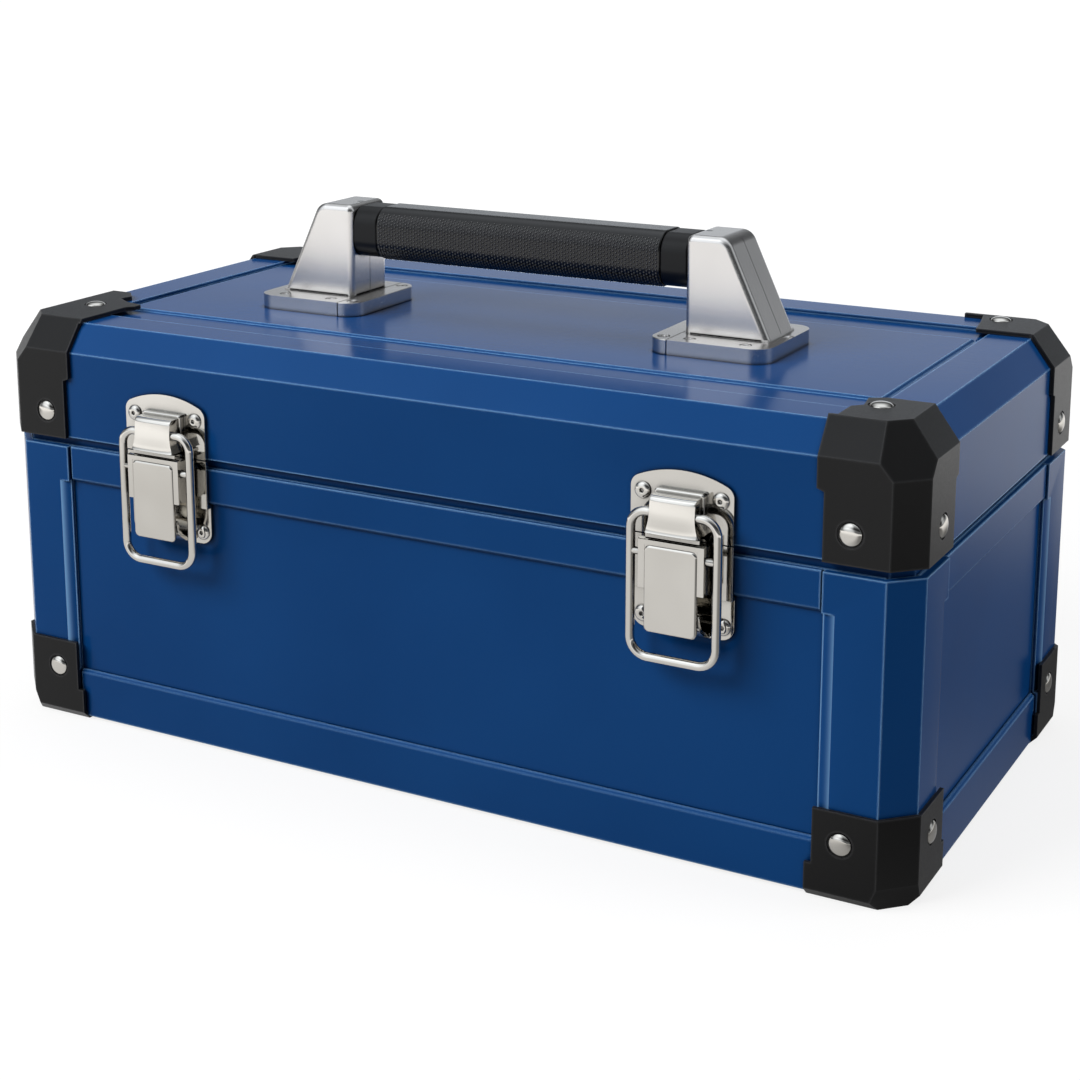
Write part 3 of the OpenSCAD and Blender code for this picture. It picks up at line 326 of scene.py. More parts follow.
def bumpFrom(tree, height, surface, strength, distance):
    bump = addNode(tree, "ShaderNodeBump")
    bump.inputs["Strength"].default_value = strength
    bump.inputs["Distance"].default_value = distance
    wire(tree, height, bump.inputs["Height"])
    wire(tree, bump.outputs["Normal"], surface.inputs["Normal"])


def bluePaint():
    # sprayed satin paint, with a painted highlight along its edges and painted shade in its creases
    # edge is the colour of the painted edge highlight, crease the colour of the painted shade in creases
    look = {"deep": (0.0030, 0.049, 0.188), "light": (0.0050, 0.058, 0.213), "edge": (0.19, 0.38, 0.66),
            "crease": (0.0006, 0.008, 0.035), "tint": (0.72, 0.90, 1.0), "wear": 0.9,
            "rough": (0.16, 0.22), "specular": 0.10, "bump": (0.08, 0.0002)}
    material, tree, surface, where = newFinish("bluePaint")
    skin = placeGroup(tree, peel, where, Wave=330.0, Speck=3200.0, Mix=0.35)
    edge = placeGroup(tree, edges, None, Radius=0.0011, Reach=0.003)
    colour = colourRamp(tree, skin.outputs["Clouds"], look)
    # painted shade in the creases, then a painted highlight along the edges
    colour = blendColour(tree, edge.outputs["Crease"], colour, look["crease"])
    edgeHighlight = mathNode(tree, "MULTIPLY", edge.outputs["Edge"], look["wear"])
    wire(tree, blendColour(tree, edgeHighlight, colour, look["edge"]), surface.inputs["Base Color"])
    wire(tree, mapRange(tree, skin.outputs["Clouds"], *look["rough"]), surface.inputs["Roughness"])
    surface.inputs["Specular IOR Level"].default_value = look["specular"]
    surface.inputs["Specular Tint"].default_value = (*look["tint"], 1)
    bumpFrom(tree, skin.outputs["Height"], surface, *look["bump"])
    return material


def capPlastic():
    # hard black moulding, with a painted grey highlight along its edges
    # edge is the colour of the painted edge highlight
    look = {"deep": (0.0034, 0.0033, 0.0034), "light": (0.0060, 0.0058, 0.0059),
            "edge": (0.085, 0.085, 0.088), "wear": 0.4,
            "rough": (0.30, 0.40), "specular": 0.24, "bump": (0.2, 0.0002)}
    material, tree, surface, where = newFinish("capPlastic")
    skin = placeGroup(tree, peel, where, Wave=900.0, Speck=4200.0, Mix=0.6)
    edge = placeGroup(tree, edges, None, Radius=0.0012)
    colour = colourRamp(tree, skin.outputs["Clouds"], look)
    # painted highlight along the edges
    edgeHighlight = mathNode(tree, "MULTIPLY", edge.outputs["Edge"], look["wear"])
    wire(tree, blendColour(tree, edgeHighlight, colour, look["edge"]), surface.inputs["Base Color"])
    wire(tree, mapRange(tree, skin.outputs["Height"], *look["rough"]), surface.inputs["Roughness"])
    surface.inputs["Specular IOR Level"].default_value = look["specular"]
    bumpFrom(tree, skin.outputs["Height"], surface, *look["bump"])
    return material


# seam: the closed joint on a tower's two end faces, drawn as a dark line, and the drain hole in its top,
# painted dark as the shade inside it
seam = {"y": gripY, "half": 0.00016, "low": 0.1779, "fade": 0.0003,
        "holes": (handleX - 0.0817, handleX + 0.0817), "holeBand": (0.0012, 0.0016),
        "lineBand": (0.6, 1.6), "sideways": (0.6, 0.7), "upward": (0.8, 0.9)}


def seamMask(tree, where):
    place = addNode(tree, "ShaderNodeSeparateXYZ")
    wire(tree, where, place.inputs["Vector"])
    facing = addNode(tree, "ShaderNodeSeparateXYZ")
    wire(tree, addNode(tree, "ShaderNodeNewGeometry").outputs["Normal"], facing.inputs["Vector"])
    off = mathNode(tree, "ABSOLUTE", mathNode(tree, "SUBTRACT", place.outputs["Y"], seam["y"]))
    line = mapRange(tree, off, 1.0, 0.0, *[seam["half"] * share for share in seam["lineBand"]])
    ends = mapRange(tree, mathNode(tree, "ABSOLUTE", facing.outputs["X"]), 0.0, 1.0, *seam["sideways"])
    above = mapRange(tree, place.outputs["Z"], 0.0, 1.0, seam["low"], seam["low"] + seam["fade"])
    mask = mathNode(tree, "MULTIPLY", mathNode(tree, "MULTIPLY", line, ends), above)
    top = mapRange(tree, facing.outputs["Z"], 0.0, 1.0, *seam["upward"])
    plan = addNode(tree, "ShaderNodeCombineXYZ")
    wire(tree, place.outputs["X"], plan.inputs["X"])
    wire(tree, place.outputs["Y"], plan.inputs["Y"])
    # the drain holes are dark discs of painted shade on the top faces
    for x in seam["holes"]:
        fromHole = vectorMath(tree, "DISTANCE", plan.outputs["Vector"], (x, seam["y"], 0))
        hole = mapRange(tree, fromHole, 1.0, 0.0, *seam["holeBand"])
        mask = mathNode(tree, "MAXIMUM", mask, mathNode(tree, "MULTIPLY", hole, top))
    return mask


# the crease share and the dark colour paint shade into the metal's creases; the same colour draws the towers'
# seam line and painted-dark holes
metal = {"edgeRadius": 0.0006, "creaseShadeShare": 0.9, "shadeAndSeamColour": (0.03, 0.029, 0.027), "streaks": 0.65,
         "bumpReach": 0.00005}


def platedMetal(name, look):
    # metal with fine drawn streaks, with painted shade in its creases, and on the towers also the dark seam
    # line and the drain holes painted dark
    material, tree, surface, where = newFinish(name)
    skin = placeGroup(tree, grain, where, Stretch=look["stretch"], Fineness=look["fineness"])
    edge = placeGroup(tree, edges, None, Radius=metal["edgeRadius"], Reach=look["reach"])
    colour = colourRamp(tree, skin.outputs["Clouds"], look)
    # painted shade in the creases, joined on the towers by the seam line and the painted-dark holes
    shadeAndSeam = mathNode(tree, "MULTIPLY", edge.outputs["Crease"], metal["creaseShadeShare"])
    if look["seam"]:
        shadeAndSeam = mathNode(tree, "MAXIMUM", shadeAndSeam, seamMask(tree, where))
    wire(tree, blendColour(tree, shadeAndSeam, colour, metal["shadeAndSeamColour"]), surface.inputs["Base Color"])
    blend = mathNode(tree, "ADD", mathNode(tree, "MULTIPLY", skin.outputs["Streaks"], metal["streaks"]),
                     mathNode(tree, "MULTIPLY", skin.outputs["Clouds"], 1 - metal["streaks"]))
    wire(tree, mapRange(tree, blend, *look["rough"]), surface.inputs["Roughness"])
    if look["bump"]:
        bumpFrom(tree, skin.outputs["Streaks"], surface, look["bump"], metal["bumpReach"])
    surface.inputs["Metallic"].default_value = 1.0
    return material


def nickelPlate():
    # reach is how far away other parts still cast painted shade onto the metal
    look = {"deep": (0.60, 0.575, 0.53), "light": (0.69, 0.665, 0.62), "rough": (0.06, 0.10),
            "stretch": (1, 1, 0.25), "fineness": 900.0, "bump": 0.02, "reach": 0.006, "seam": False}
    return platedMetal("nickelPlate", look)


def brushedSteel():
    # reach is how far away other parts still cast painted shade onto the metal
    look = {"deep": (0.70, 0.675, 0.65), "light": (0.76, 0.735, 0.71), "rough": (0.25, 0.275),
            "stretch": (1, 1, 0.2), "fineness": 3600.0, "bump": 0.0, "reach": 0.0022, "seam": True}
    return platedMetal("brushedSteel", look)


def gripLeather():
    # black leather, with painted shade in the hollows between its pebbles and a painted highlight on their
    # tips
    # hollow is the colour of the painted shade between the pebbles, tip the colour of the painted highlight
    # on their tops
    look = {"deep": (0.0012, 0.0012, 0.0013), "light": (0.0030, 0.0030, 0.0031),
            "hollow": (0.0002, 0.0002, 0.0002), "tip": (0.16, 0.16, 0.162), "tipHighlight": (0.35, 0.95),
            "rough": (0.16, 0.24), "specular": 0.5, "bump": (0.25, 0.0001)}
    material, tree, surface, where = newFinish("gripLeather")
    skin = placeGroup(tree, peel, where, Wave=800.0, Speck=5200.0, Mix=0.5)
    edge = placeGroup(tree, edges, None, Radius=0.0004, Reach=0.0010)
    colour = colourRamp(tree, skin.outputs["Height"], look)
    # a painted highlight on each pebble's top, patchy across the grip, then painted shade in the hollows
    tip = addNode(tree, "ShaderNodeAttribute", attribute_name="tip")
    tipHighlight = mathNode(tree, "MULTIPLY", tip.outputs["Fac"],
                      mapRange(tree, skin.outputs["Clouds"], *look["tipHighlight"]))
    colour = blendColour(tree, tipHighlight, colour, look["tip"])
    colour = blendColour(tree, edge.outputs["Crease"], colour, look["hollow"])
    wire(tree, colour, surface.inputs["Base Color"])
    wire(tree, mapRange(tree, skin.outputs["Height"], *look["rough"]), surface.inputs["Roughness"])
    surface.inputs["Specular IOR Level"].default_value = look["specular"]
    bumpFrom(tree, skin.outputs["Height"], surface, *look["bump"])
    return material


def smoothRubber():
    look = {"deep": (0.0028, 0.0028, 0.0030), "light": (0.0042, 0.0042, 0.0045), "rough": (0.30, 0.38),
            "specular": 0.28, "bump": (0.12, 0.00015)}
    material, tree, surface, where = newFinish("smoothRubber")
    skin = placeGroup(tree, peel, where, Wave=700.0, Speck=3600.0, Mix=0.4)
    wire(tree, colourRamp(tree, skin.outputs["Clouds"], look), surface.inputs["Base Color"])
    wire(tree, mapRange(tree, skin.outputs["Clouds"], *look["rough"]), surface.inputs["Roughness"])
    surface.inputs["Specular IOR Level"].default_value = look["specular"]
    bumpFrom(tree, skin.outputs["Height"], surface, *look["bump"])
    return material


finishes = {
    "blue_paint": bluePaint(),
    "cap_black": capPlastic(),
    "nickel_plate": nickelPlate(),
    "brushed_bracket": brushedSteel(),
    "grip_leather": gripLeather(),
    "collar_black": smoothRubber(),
}
print("finishes built")


# meshes
def camelName(node):
    words = node.split("_")
    return words[0] + "".join(word.title() for word in words[1:])


# weld in metres, the others in degrees
tidying = {"weld": 2e-6, "flat": 0.4, "roundSolids": 28, "roundBuilt": 34}


def weldedSolid(node):
    # a node's own solid, with its loose triangles welded
    work = bmesh.new()
    work.from_mesh(frame["nodes"][node].data)
    bmesh.ops.remove_doubles(work, verts=work.verts, dist=tidying["weld"])
    return work


def flatSolid(node):
    # the same, with the triangles that lie in one plane joined
    work = weldedSolid(node)
    flat = math.radians(tidying["flat"])
    bmesh.ops.dissolve_limit(work, angle_limit=flat, verts=work.verts, edges=work.edges)
    return work


def smoothMesh(work, name):
    mesh = bpy.data.meshes.new(name)
    work.to_mesh(mesh)
    work.free()
    mesh.polygons.foreach_set("use_smooth", [True] * len(mesh.polygons))
    return mesh


def outwardMesh(work, name):
    bmesh.ops.recalc_face_normals(work, faces=work.faces)
    return smoothMesh(work, name)


def roundEdges(piece, width, angle):
    edge = piece.modifiers.new("roundedEdges", "BEVEL")
    edge.width = width
    edge.segments = 3
    edge.limit_method = "ANGLE"
    edge.angle_limit = math.radians(angle)
    return edge


def flattenFaces(piece):
    weight = piece.modifiers.new("flatFaces", "WEIGHTED_NORMAL")
    weight.weight = 60
    return weight


def settle(piece, node):
    # links the piece in a node's place, with its finish
    slot = slotOf[node]
    if piece.name not in scene.collection.objects:
        scene.collection.objects.link(piece)
    if not piece.data.materials:
        piece.data.materials.append(finishes[slot])
    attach(piece, bodyOf[node])


# pieces made from the frame's own solids, with rounded edges
sides = ("front", "back", "left", "right")
corners = ("front_left", "front_right", "back_left", "back_right")
hands = ("left", "right")
# nodes, and the width of their rounded edges in metres
roundings = [
    (["floor_panel"] + [side + "_panel" for side in sides], 0.0003),
    ([corner + "_post" for corner in corners], 0.0006),
    ([height + "_" + side + "_rail" for height in ("top", "bottom") for side in sides], 0.0004),
    (["centring_lip", "lid_panel"], 0.0004),
    (["lid_" + side + "_rail" for side in sides], 0.0006),
    ([corner + "_foot" for corner in corners], 0.0005),
    ([corner + "_cap" for corner in corners], 0.0007),
    ([hand + "_keeper" for hand in hands], 0.0004),
    ([hand + half + "_leaf" for half in ("_body", "_lid") for hand in hands], 0.0003),
    (["hinge_pins"], 0.0003),
    ([hand + "_bracket_foot" for hand in hands], 0.001),
    (["handle_bar"], 0),
]


def soften(node, width):
    name = camelName(node)
    piece = bpy.data.objects.new(name, smoothMesh(flatSolid(node), name))
    if width:
        roundEdges(piece, width, tidying["roundSolids"]).miter_outer = "MITER_ARC"
    flattenFaces(piece).mode = "FACE_AREA_WITH_ANGLE"
    settle(piece, node)
    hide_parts(node)


for nodes, width in roundings:
    for node in nodes:
        soften(node, width)
print("sheet metal, caps and fittings rounded")


# rivets and screws
# profiles run from the middle outwards, as shares of the head's radius and height
heads = {
    "rivet": {"radius": 0.0043, "shank": 0.0016, "height": 0.0017,
              "profile": [(0, 1), (0.25, 0.975), (0.5, 0.885), (0.7, 0.74), (0.86, 0.52), (0.95, 0.3),
                          (1, 0.06), (1, -0.5)]},
    "latchScrew": {"radius": 0.0032, "shank": 0.0015, "height": 0.0015,
                   "profile": [(0, 0.35), (0.2, 0.35), (0.24, 0.45), (0.26, 0.96), (0.32, 1), (0.6, 0.94),
                               (0.84, 0.72), (0.97, 0.4), (1, 0.1), (1, -0.5)]},
    "smallRivet": {"radius": 0.003, "shank": 0.0016, "height": 0.0011,
                   "profile": [(0, 1), (0.3, 0.96), (0.6, 0.8), (0.85, 0.5), (1, 0.06), (1, -0.5)]},
    "baseScrew": {"radius": 0.0024, "shank": 0.0015, "height": 0.001,
                  "profile": [(0, -0.3), (0.42, -0.3), (0.48, 0.9), (0.56, 1), (0.82, 0.92), (0.96, 0.65),
                              (1, 0.2), (1, -0.6)]},
}
headKinds = {
    "foot_rivets": "rivet", "cap_rivets": "rivet",
    "catch_screws": "latchScrew", "keeper_screws": "latchScrew",
    "bracket_screws": "baseScrew", "body_leaf_rivets": "smallRivet", "lid_leaf_rivets": "smallRivet",
}


def latheShape(name, profile, steps=28):
    # a closed turned shape
    work = bmesh.new()
    rings = []
    for radius, height in profile:
        turns = [2 * math.pi * k / steps for k in range(steps if radius else 1)]
        rings.append([work.verts.new((radius * math.cos(turn), radius * math.sin(turn), height))
                      for turn in turns])
    for upper, lower in zip(rings, rings[1:]):
        for k in range(steps):
            after = (k + 1) % steps
            if len(upper) == 1:
                work.faces.new((upper[0], lower[k], lower[after]))
            else:
                work.faces.new((upper[k], lower[k], lower[after], upper[after]))
    work.faces.new(list(reversed(rings[-1])))
    return outwardMesh(work, name)


def headTree():
    # one head on each point, turned to face the way that the point says
    tree = bpy.data.node_groups.new("headsOnPoints", "GeometryNodeTree")
    sockets = {}
    for label, kind in (("Points", "Geometry"), ("Head", "Object"), ("Radius", "Float"), ("Height", "Float"),
                        ("Finish", "Material")):
        socket = tree.interface.new_socket(label, in_out="INPUT", socket_type="NodeSocket" + kind)
        sockets[label] = socket.identifier
    tree.interface.new_socket("Heads", in_out="OUTPUT", socket_type="NodeSocketGeometry")
    ins, outs = addNode(tree, "NodeGroupInput"), addNode(tree, "NodeGroupOutput")
    head = addNode(tree, "GeometryNodeObjectInfo", transform_space="ORIGINAL")
    facing = addNode(tree, "GeometryNodeInputNamedAttribute", data_type="FLOAT_VECTOR")
    facing.inputs["Name"].default_value = "facing"
    turn = addNode(tree, "FunctionNodeAlignRotationToVector", axis="Z")
    size = addNode(tree, "ShaderNodeCombineXYZ")
    place = addNode(tree, "GeometryNodeInstanceOnPoints")
    solid = addNode(tree, "GeometryNodeRealizeInstances")
    paint = addNode(tree, "GeometryNodeSetMaterial")
    wire(tree, ins.outputs["Head"], head.inputs["Object"])
    wire(tree, facing.outputs["Attribute"], turn.inputs["Vector"])
    wire(tree, ins.outputs["Radius"], size.inputs["X"])
    wire(tree, ins.outputs["Radius"], size.inputs["Y"])
    wire(tree, ins.outputs["Height"], size.inputs["Z"])
    wire(tree, ins.outputs["Points"], place.inputs["Points"])
    wire(tree, head.outputs["Geometry"], place.inputs["Instance"])
    wire(tree, turn.outputs["Rotation"], place.inputs["Rotation"])
    wire(tree, size.outputs["Vector"], place.inputs["Scale"])
    wire(tree, place.outputs["Instances"], solid.inputs["Geometry"])
    wire(tree, solid.outputs["Geometry"], paint.inputs["Geometry"])
    wire(tree, ins.outputs["Finish"], paint.inputs["Material"])
    wire(tree, paint.outputs["Geometry"], outs.inputs["Heads"])
    return tree, sockets


headNodes, headSockets = headTree()


def islandsOf(work):
    # the places of the points of each separate solid
    left = set(work.verts)
    islands = []
    for start in work.verts:
        if start not in left:
            continue
        left.discard(start)
        chain, island = [start], []
        while chain:
            vert = chain.pop()
            island.append(vert.co.copy())
            for edge in vert.link_edges:
                other = edge.other_vert(vert)
                if other in left:
                    left.discard(other)
                    chain.append(other)
        islands.append(island)
    return islands


def solidPlaces(node, height):
    # each solid's head seat and the way it faces, and the length of the shortest one
    work = weldedSolid(node)
    islands = islandsOf(work)
    work.free()
    boxMiddle = (0, shiftY)
    places, lengths = [], []
    for island in islands:
        low = Vector([min(co[k] for co in island) for k in range(3)])
        high = Vector([max(co[k] for co in island) for k in range(3)])
        size = high - low
        # the solid is round, so it runs along the axis across which its other two sizes agree
        gaps = [abs(size[(k + 1) % 3] - size[(k + 2) % 3]) for k in range(3)]
        axis = gaps.index(min(gaps))
        seat = (low + high) / 2
        facing = Vector((0, 0, 0))
        facing[axis] = 1 if axis == 2 or seat[axis] > boxMiddle[axis] else -1
        seat[axis] = (high[axis] if facing[axis] > 0 else low[axis]) - facing[axis] * height
        places.append((seat, facing))
        lengths.append(size[axis])
    return places, min(lengths)


def growHeads(name, shape, places, radius, height, finish):
    mesh = bpy.data.meshes.new("points")
    mesh.from_pydata([tuple(seat) for seat, facing in places], [], [])
    facing = mesh.attributes.new("facing", "FLOAT_VECTOR", "POINT")
    facing.data.foreach_set("vector", [value for seat, way in places for value in way])
    carrier = bpy.data.objects.new("points", mesh)
    scene.collection.objects.link(carrier)
    scene.collection.objects.link(shape)
    grow = carrier.modifiers.new("heads", "NODES")
    grow.node_group = headNodes
    for label, value in (("Head", shape), ("Radius", radius), ("Height", height), ("Finish", finish)):
        grow[headSockets[label]] = value
    graph = bpy.context.evaluated_depsgraph_get()
    piece = bpy.data.objects.new(name, bpy.data.meshes.new_from_object(carrier.evaluated_get(graph)))
    piece.data.name = name
    scene.collection.objects.link(piece)
    bpy.data.objects.remove(carrier)
    bpy.data.objects.remove(shape)
    return piece


def placeHeads(node, kind):
    # heads with shanks as long as the node's own solids
    head = heads[kind]
    places, length = solidPlaces(node, head["height"])
    neck = head["shank"] / head["radius"]
    profile = head["profile"] + [(neck, head["profile"][-1][1]), (neck, 1 - length / head["height"])]
    shape = bpy.data.objects.new(kind + "Shape", latheShape(kind + "Shape", profile))
    piece = growHeads(camelName(node), shape, places, head["radius"], head["height"], finishes[slotOf[node]])
    settle(piece, node)
    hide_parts(node)
    print(piece.name, len(places), "heads")


for node, kind in headKinds.items():
    placeHeads(node, kind)
print("rivets and screws placed")


# shapes built up from rings of points
leastRound = 0.00005


def arc(centre, radius, start, stop, steps):
    # points on an arc between two angles in degrees, with both ends
    turns = [math.radians(start + (stop - start) * k / steps) for k in range(steps + 1)]
    return [(centre[0] + radius * math.cos(turn), centre[1] + radius * math.sin(turn)) for turn in turns]


def roundedOutline(halfWide, low, high, corner, inset=0.0, steps=6):
    # a rounded rectangle of points, made smaller all round by the inset
    radius = max(corner - inset, leastRound)
    wide, base, top = halfWide - inset - radius, low + inset + radius, high - inset - radius
    points = []
    for centre, start in (((wide, top), 0), ((-wide, top), 90), ((-wide, base), 180), ((wide, base), 270)):
        points += arc(centre, radius, start, start + 90, steps)
    return points


def loft(work, rings):
    # a closed skin through rings that have the same number of points
    rows = [[work.verts.new(point) for point in ring] for ring in rings]
    count = len(rows[0])
    for first, second in zip(rows, rows[1:]):
        for k in range(count):
            after = (k + 1) % count
            work.faces.new((first[k], first[after], second[after], second[k]))
    work.faces.new(list(reversed(rows[0])))
    work.faces.new(rows[-1])


def standIn(node, work, bevel=0.0):
    # a finished piece in the place of one of the frame's nodes
    name = camelName(node)
    piece = bpy.data.objects.new(name, outwardMesh(work, name))
    if bevel:
        roundEdges(piece, bevel, tidying["roundBuilt"])
    flattenFaces(piece)
    settle(piece, node)
    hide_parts(node)


def cutCopy(node, place, facing):
    # the part of a node's solid that lies behind a plane, closed where it was cut
    work = flatSolid(node)
    everything = work.verts[:] + work.edges[:] + work.faces[:]
    bmesh.ops.bisect_plane(work, geom=everything, plane_co=place, plane_no=facing, clear_outer=True)
    bmesh.ops.holes_fill(work, edges=[edge for edge in work.edges if edge.is_boundary])
    return work


# handle
tower = {"inner": 0.0775, "outer": 0.113, "shoulder": 0.095, "foot": 0.1776, "top": 0.2162, "depth": 0.027,
         "sunk": 0.001, "cut": 0.0002, "innerRound": 0.003, "outerRound": 0.0062, "edge": 0.0026,
         "rounding": 0.001}


def towerRing(side, inset, y):
    # front view of a tower, with its outline moved inward
    lean = (tower["outer"] - tower["shoulder"]) / (tower["top"] - tower["foot"])
    slant = math.sqrt(1 + lean * lean)
    low = tower["foot"] - tower["sunk"]
    inner, outer = tower["innerRound"], tower["outerRound"]
    points = [(tower["inner"] + inset, low)]
    middle = (tower["inner"] + inner, tower["top"] - inner)
    points += arc(middle, max(inner - inset, leastRound), 180, 90, 6)
    middle = (tower["shoulder"] + outer * (lean - slant), tower["top"] - outer)
    points += arc(middle, max(outer - inset, leastRound), 90, math.degrees(math.atan(lean)), 8)
    points.append((tower["shoulder"] - inset * slant + (tower["top"] - low) * lean, low))
    return [(handleX + side * x, y, z) for x, z in points]


def buildBracket(node, side):
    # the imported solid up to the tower's foot, then a tower with rounded front and back edges
    work = cutCopy(node, (0, 0, tower["foot"] + tower["cut"]), (0, 0, 1))
    edge, front, back = tower["edge"], gripY - tower["depth"] / 2, gripY + tower["depth"] / 2
    bend = arc((0, 0), 1, 0, 90, 7)
    rings = [towerRing(side, edge * (1 - up), front + edge * (1 - along)) for along, up in bend]
    rings += [towerRing(side, edge * (1 - along), back - edge * (1 - up)) for along, up in bend]
    loft(work, rings)
    standIn(node, work, tower["rounding"])


# ends: distance from the end and how much the outline is drawn in there
grip = {"middle": (gripY, 0.2046), "size": (0.0254, 0.0224), "corner": 0.008, "half": 0.066,
        "ends": ((0, 0.0007), (0.0002, 0.0003), (0.0007, 0)), "drawn": 0.012, "spacing": 0.0008,
        "groove": {"deep": 0.0004, "z": -0.0066, "half": 0.0006}}


def gripRing(x, inset):
    y, z = grip["middle"]
    wide, high = grip["size"]
    outline = roundedOutline(wide / 2, -high / 2, high / 2, grip["corner"], inset, 14)
    return [(x, y + across, z + up) for across, up in outline]


def densify(ring, longest):
    # splits the long straight sides, so that the groove and the pebbles have points to follow
    points = []
    for first, second in zip(ring, ring[1:] + ring[:1]):
        first, second = Vector(first), Vector(second)
        parts = max(1, round((second - first).length / longest))
        points += [tuple(first.lerp(second, k / parts)) for k in range(parts)]
    return points


def buildGrip():
    # a rounded sleeve with a groove for the stitches low on its front
    groove = grip["groove"]
    stations = [(gap - grip["half"], inset) for gap, inset in grip["ends"]]
    stations += [(-x, inset) for x, inset in reversed(stations)]
    rings = []
    for x, inset in stations:
        spine = Vector((handleX + x, *grip["middle"]))
        ring = []
        for point in densify(gripRing(handleX + x, 0), grip["spacing"]):
            out = (Vector(point) - spine) * (1 - inset / grip["drawn"])
            if out.y < 0:
                out.y += groove["deep"] * math.exp(-((out.z - groove["z"]) / groove["half"]) ** 2)
            ring.append(tuple(spine + out))
        rings.append(ring)
    work = bmesh.new()
    loft(work, rings)
    standIn("grip", work)


# inner and outer ends: distance from the end and inset
collar = {"gap": 0.0001, "innerEnd": ((0, 0.0010), (0.0003, 0.0005), (0.0009, 0.0004)),
          "outerEnd": ((0.0006, 0.0004), (0.0002, 0.0006), (0, 0.0010))}


def buildCollar(node, side):
    inner, outer = grip["half"] + collar["gap"], tower["inner"]
    stations = [(inner + gap, inset) for gap, inset in collar["innerEnd"]]
    stations += [(outer - gap, inset) for gap, inset in collar["outerEnd"]]
    work = bmesh.new()
    loft(work, [gripRing(handleX + side * x, inset) for x, inset in stations])
    standIn(node, work)


pebble = {"step": 0.00155, "rowShare": 0.866, "parts": 8, "radius": 0.00074, "height": 0.0005, "deep": 0.0002,
          "stray": 0.00012, "strayUp": 0.3, "highest": 0.0088, "endGap": 0.0014, "seed": 7, "sides": 6,
          "profile": [(0, 1), (0.55, 0.8), (0.9, 0.3), (1, -0.4)], "tipAbove": 0.9}


def buildPebbles():
    # small domes in staggered rows round the grip, all but its smoother top
    mesh = latheShape("pebbleShape", pebble["profile"], pebble["sides"])
    # the tip attribute marks each pebble's top, where the leather paints its highlight
    tip = mesh.attributes.new("tip", "FLOAT", "POINT")
    tip.data.foreach_set("value", [float(vert.co.z > pebble["tipAbove"]) for vert in mesh.vertices])
    shape = bpy.data.objects.new("pebbleShape", mesh)
    parts, step = pebble["parts"], pebble["step"]
    around = [Vector(point) for point in densify(gripRing(handleX, 0.0), step / parts)]
    centre = Vector((handleX, *grip["middle"]))
    reach = grip["half"] - pebble["endGap"]
    rows = round(2 * reach / (step * pebble["rowShare"]))
    chance = random.Random(pebble["seed"])
    places = []
    for row in range(rows + 1):
        along = -reach + 2 * reach * row / rows
        for k in range(parts // 2 * (row % 2), len(around) - parts // 2, parts):
            spot = around[k]
            ahead = around[(k + 1) % len(around)] - spot
            facing = Vector((0, ahead.z, -ahead.y)).normalized()
            if facing.dot(spot - centre) < 0:
                facing = -facing
            if spot.z - centre.z > pebble["highest"]:
                continue
            strayX = chance.uniform(-1, 1)
            strayZ = chance.uniform(-pebble["strayUp"], pebble["strayUp"])
            stray = Vector((strayX, 0, strayZ)) * pebble["stray"]
            places.append((spot + Vector((along, 0, 0)) + stray - facing * pebble["deep"], facing))
    leather = finishes["grip_leather"]
    piece = growHeads("gripPebbles", shape, places, pebble["radius"], pebble["height"], leather)
    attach(piece, "lid")
    print(len(places), "pebbles")


stitch = {"step": 0.0026, "radius": 0.00028, "stretch": 3.0, "turn": math.radians(24), "deep": 0.00012,
          "endGap": 0.004}


def buildStitches():
    # a row of short stitches in the grip's groove
    work = bmesh.new()
    bmesh.ops.create_uvsphere(work, u_segments=10, v_segments=6, radius=1)
    for vert in work.verts:
        vert.co.x *= stitch["stretch"]
    shape = bpy.data.objects.new("stitchShape", outwardMesh(work, "stitchShape"))
    reach = grip["half"] - stitch["endGap"]
    count = round(2 * reach / stitch["step"])
    corner = grip["corner"]
    wide, high = grip["size"]
    facing = Vector((0, -math.cos(stitch["turn"]), -math.sin(stitch["turn"])))
    seat = Vector((handleX, *grip["middle"])) + Vector((0, corner - wide / 2, corner - high / 2))
    seat += facing * (corner - stitch["deep"])
    places = [(seat + Vector((-reach + 2 * reach * k / count, 0, 0)), facing) for k in range(count + 1)]
    thread = finishes["collar_black"]
    piece = growHeads("gripStitches", shape, places, stitch["radius"], stitch["radius"], thread)
    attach(piece, "lid")


for side, name in ((-1, "left"), (1, "right")):
    buildBracket(name + "_bracket", side)
    buildCollar(name + "_collar", side)
buildGrip()
buildPebbles()
buildStitches()
print("handle built")


# latches
latch = {"x": 0.114, "y": -0.10125 + shiftY, "plate": 0.0015, "clear": 0.00005}


def latchPoint(side, x, out, z):
    return (side * latch["x"] + x, latch["y"] - out, z)


def plateRings(side, plate):
    # a flat plate with its front edges rounded over
    low, top, edge = plate["low"], plate["top"], plate["edge"]
    outline = roundedOutline(plate["half"], low, top, plate["corner"])
    rings = [[latchPoint(side, x, plate["back"], z) for x, z in outline]]
    for along, up in arc((0, 0), 1, 0, 90, 5):
        outline = roundedOutline(plate["half"], low, top, plate["corner"], edge * (1 - along))
        rings.append([latchPoint(side, x, plate["front"] - edge * (1 - up), z) for x, z in outline])
    return rings


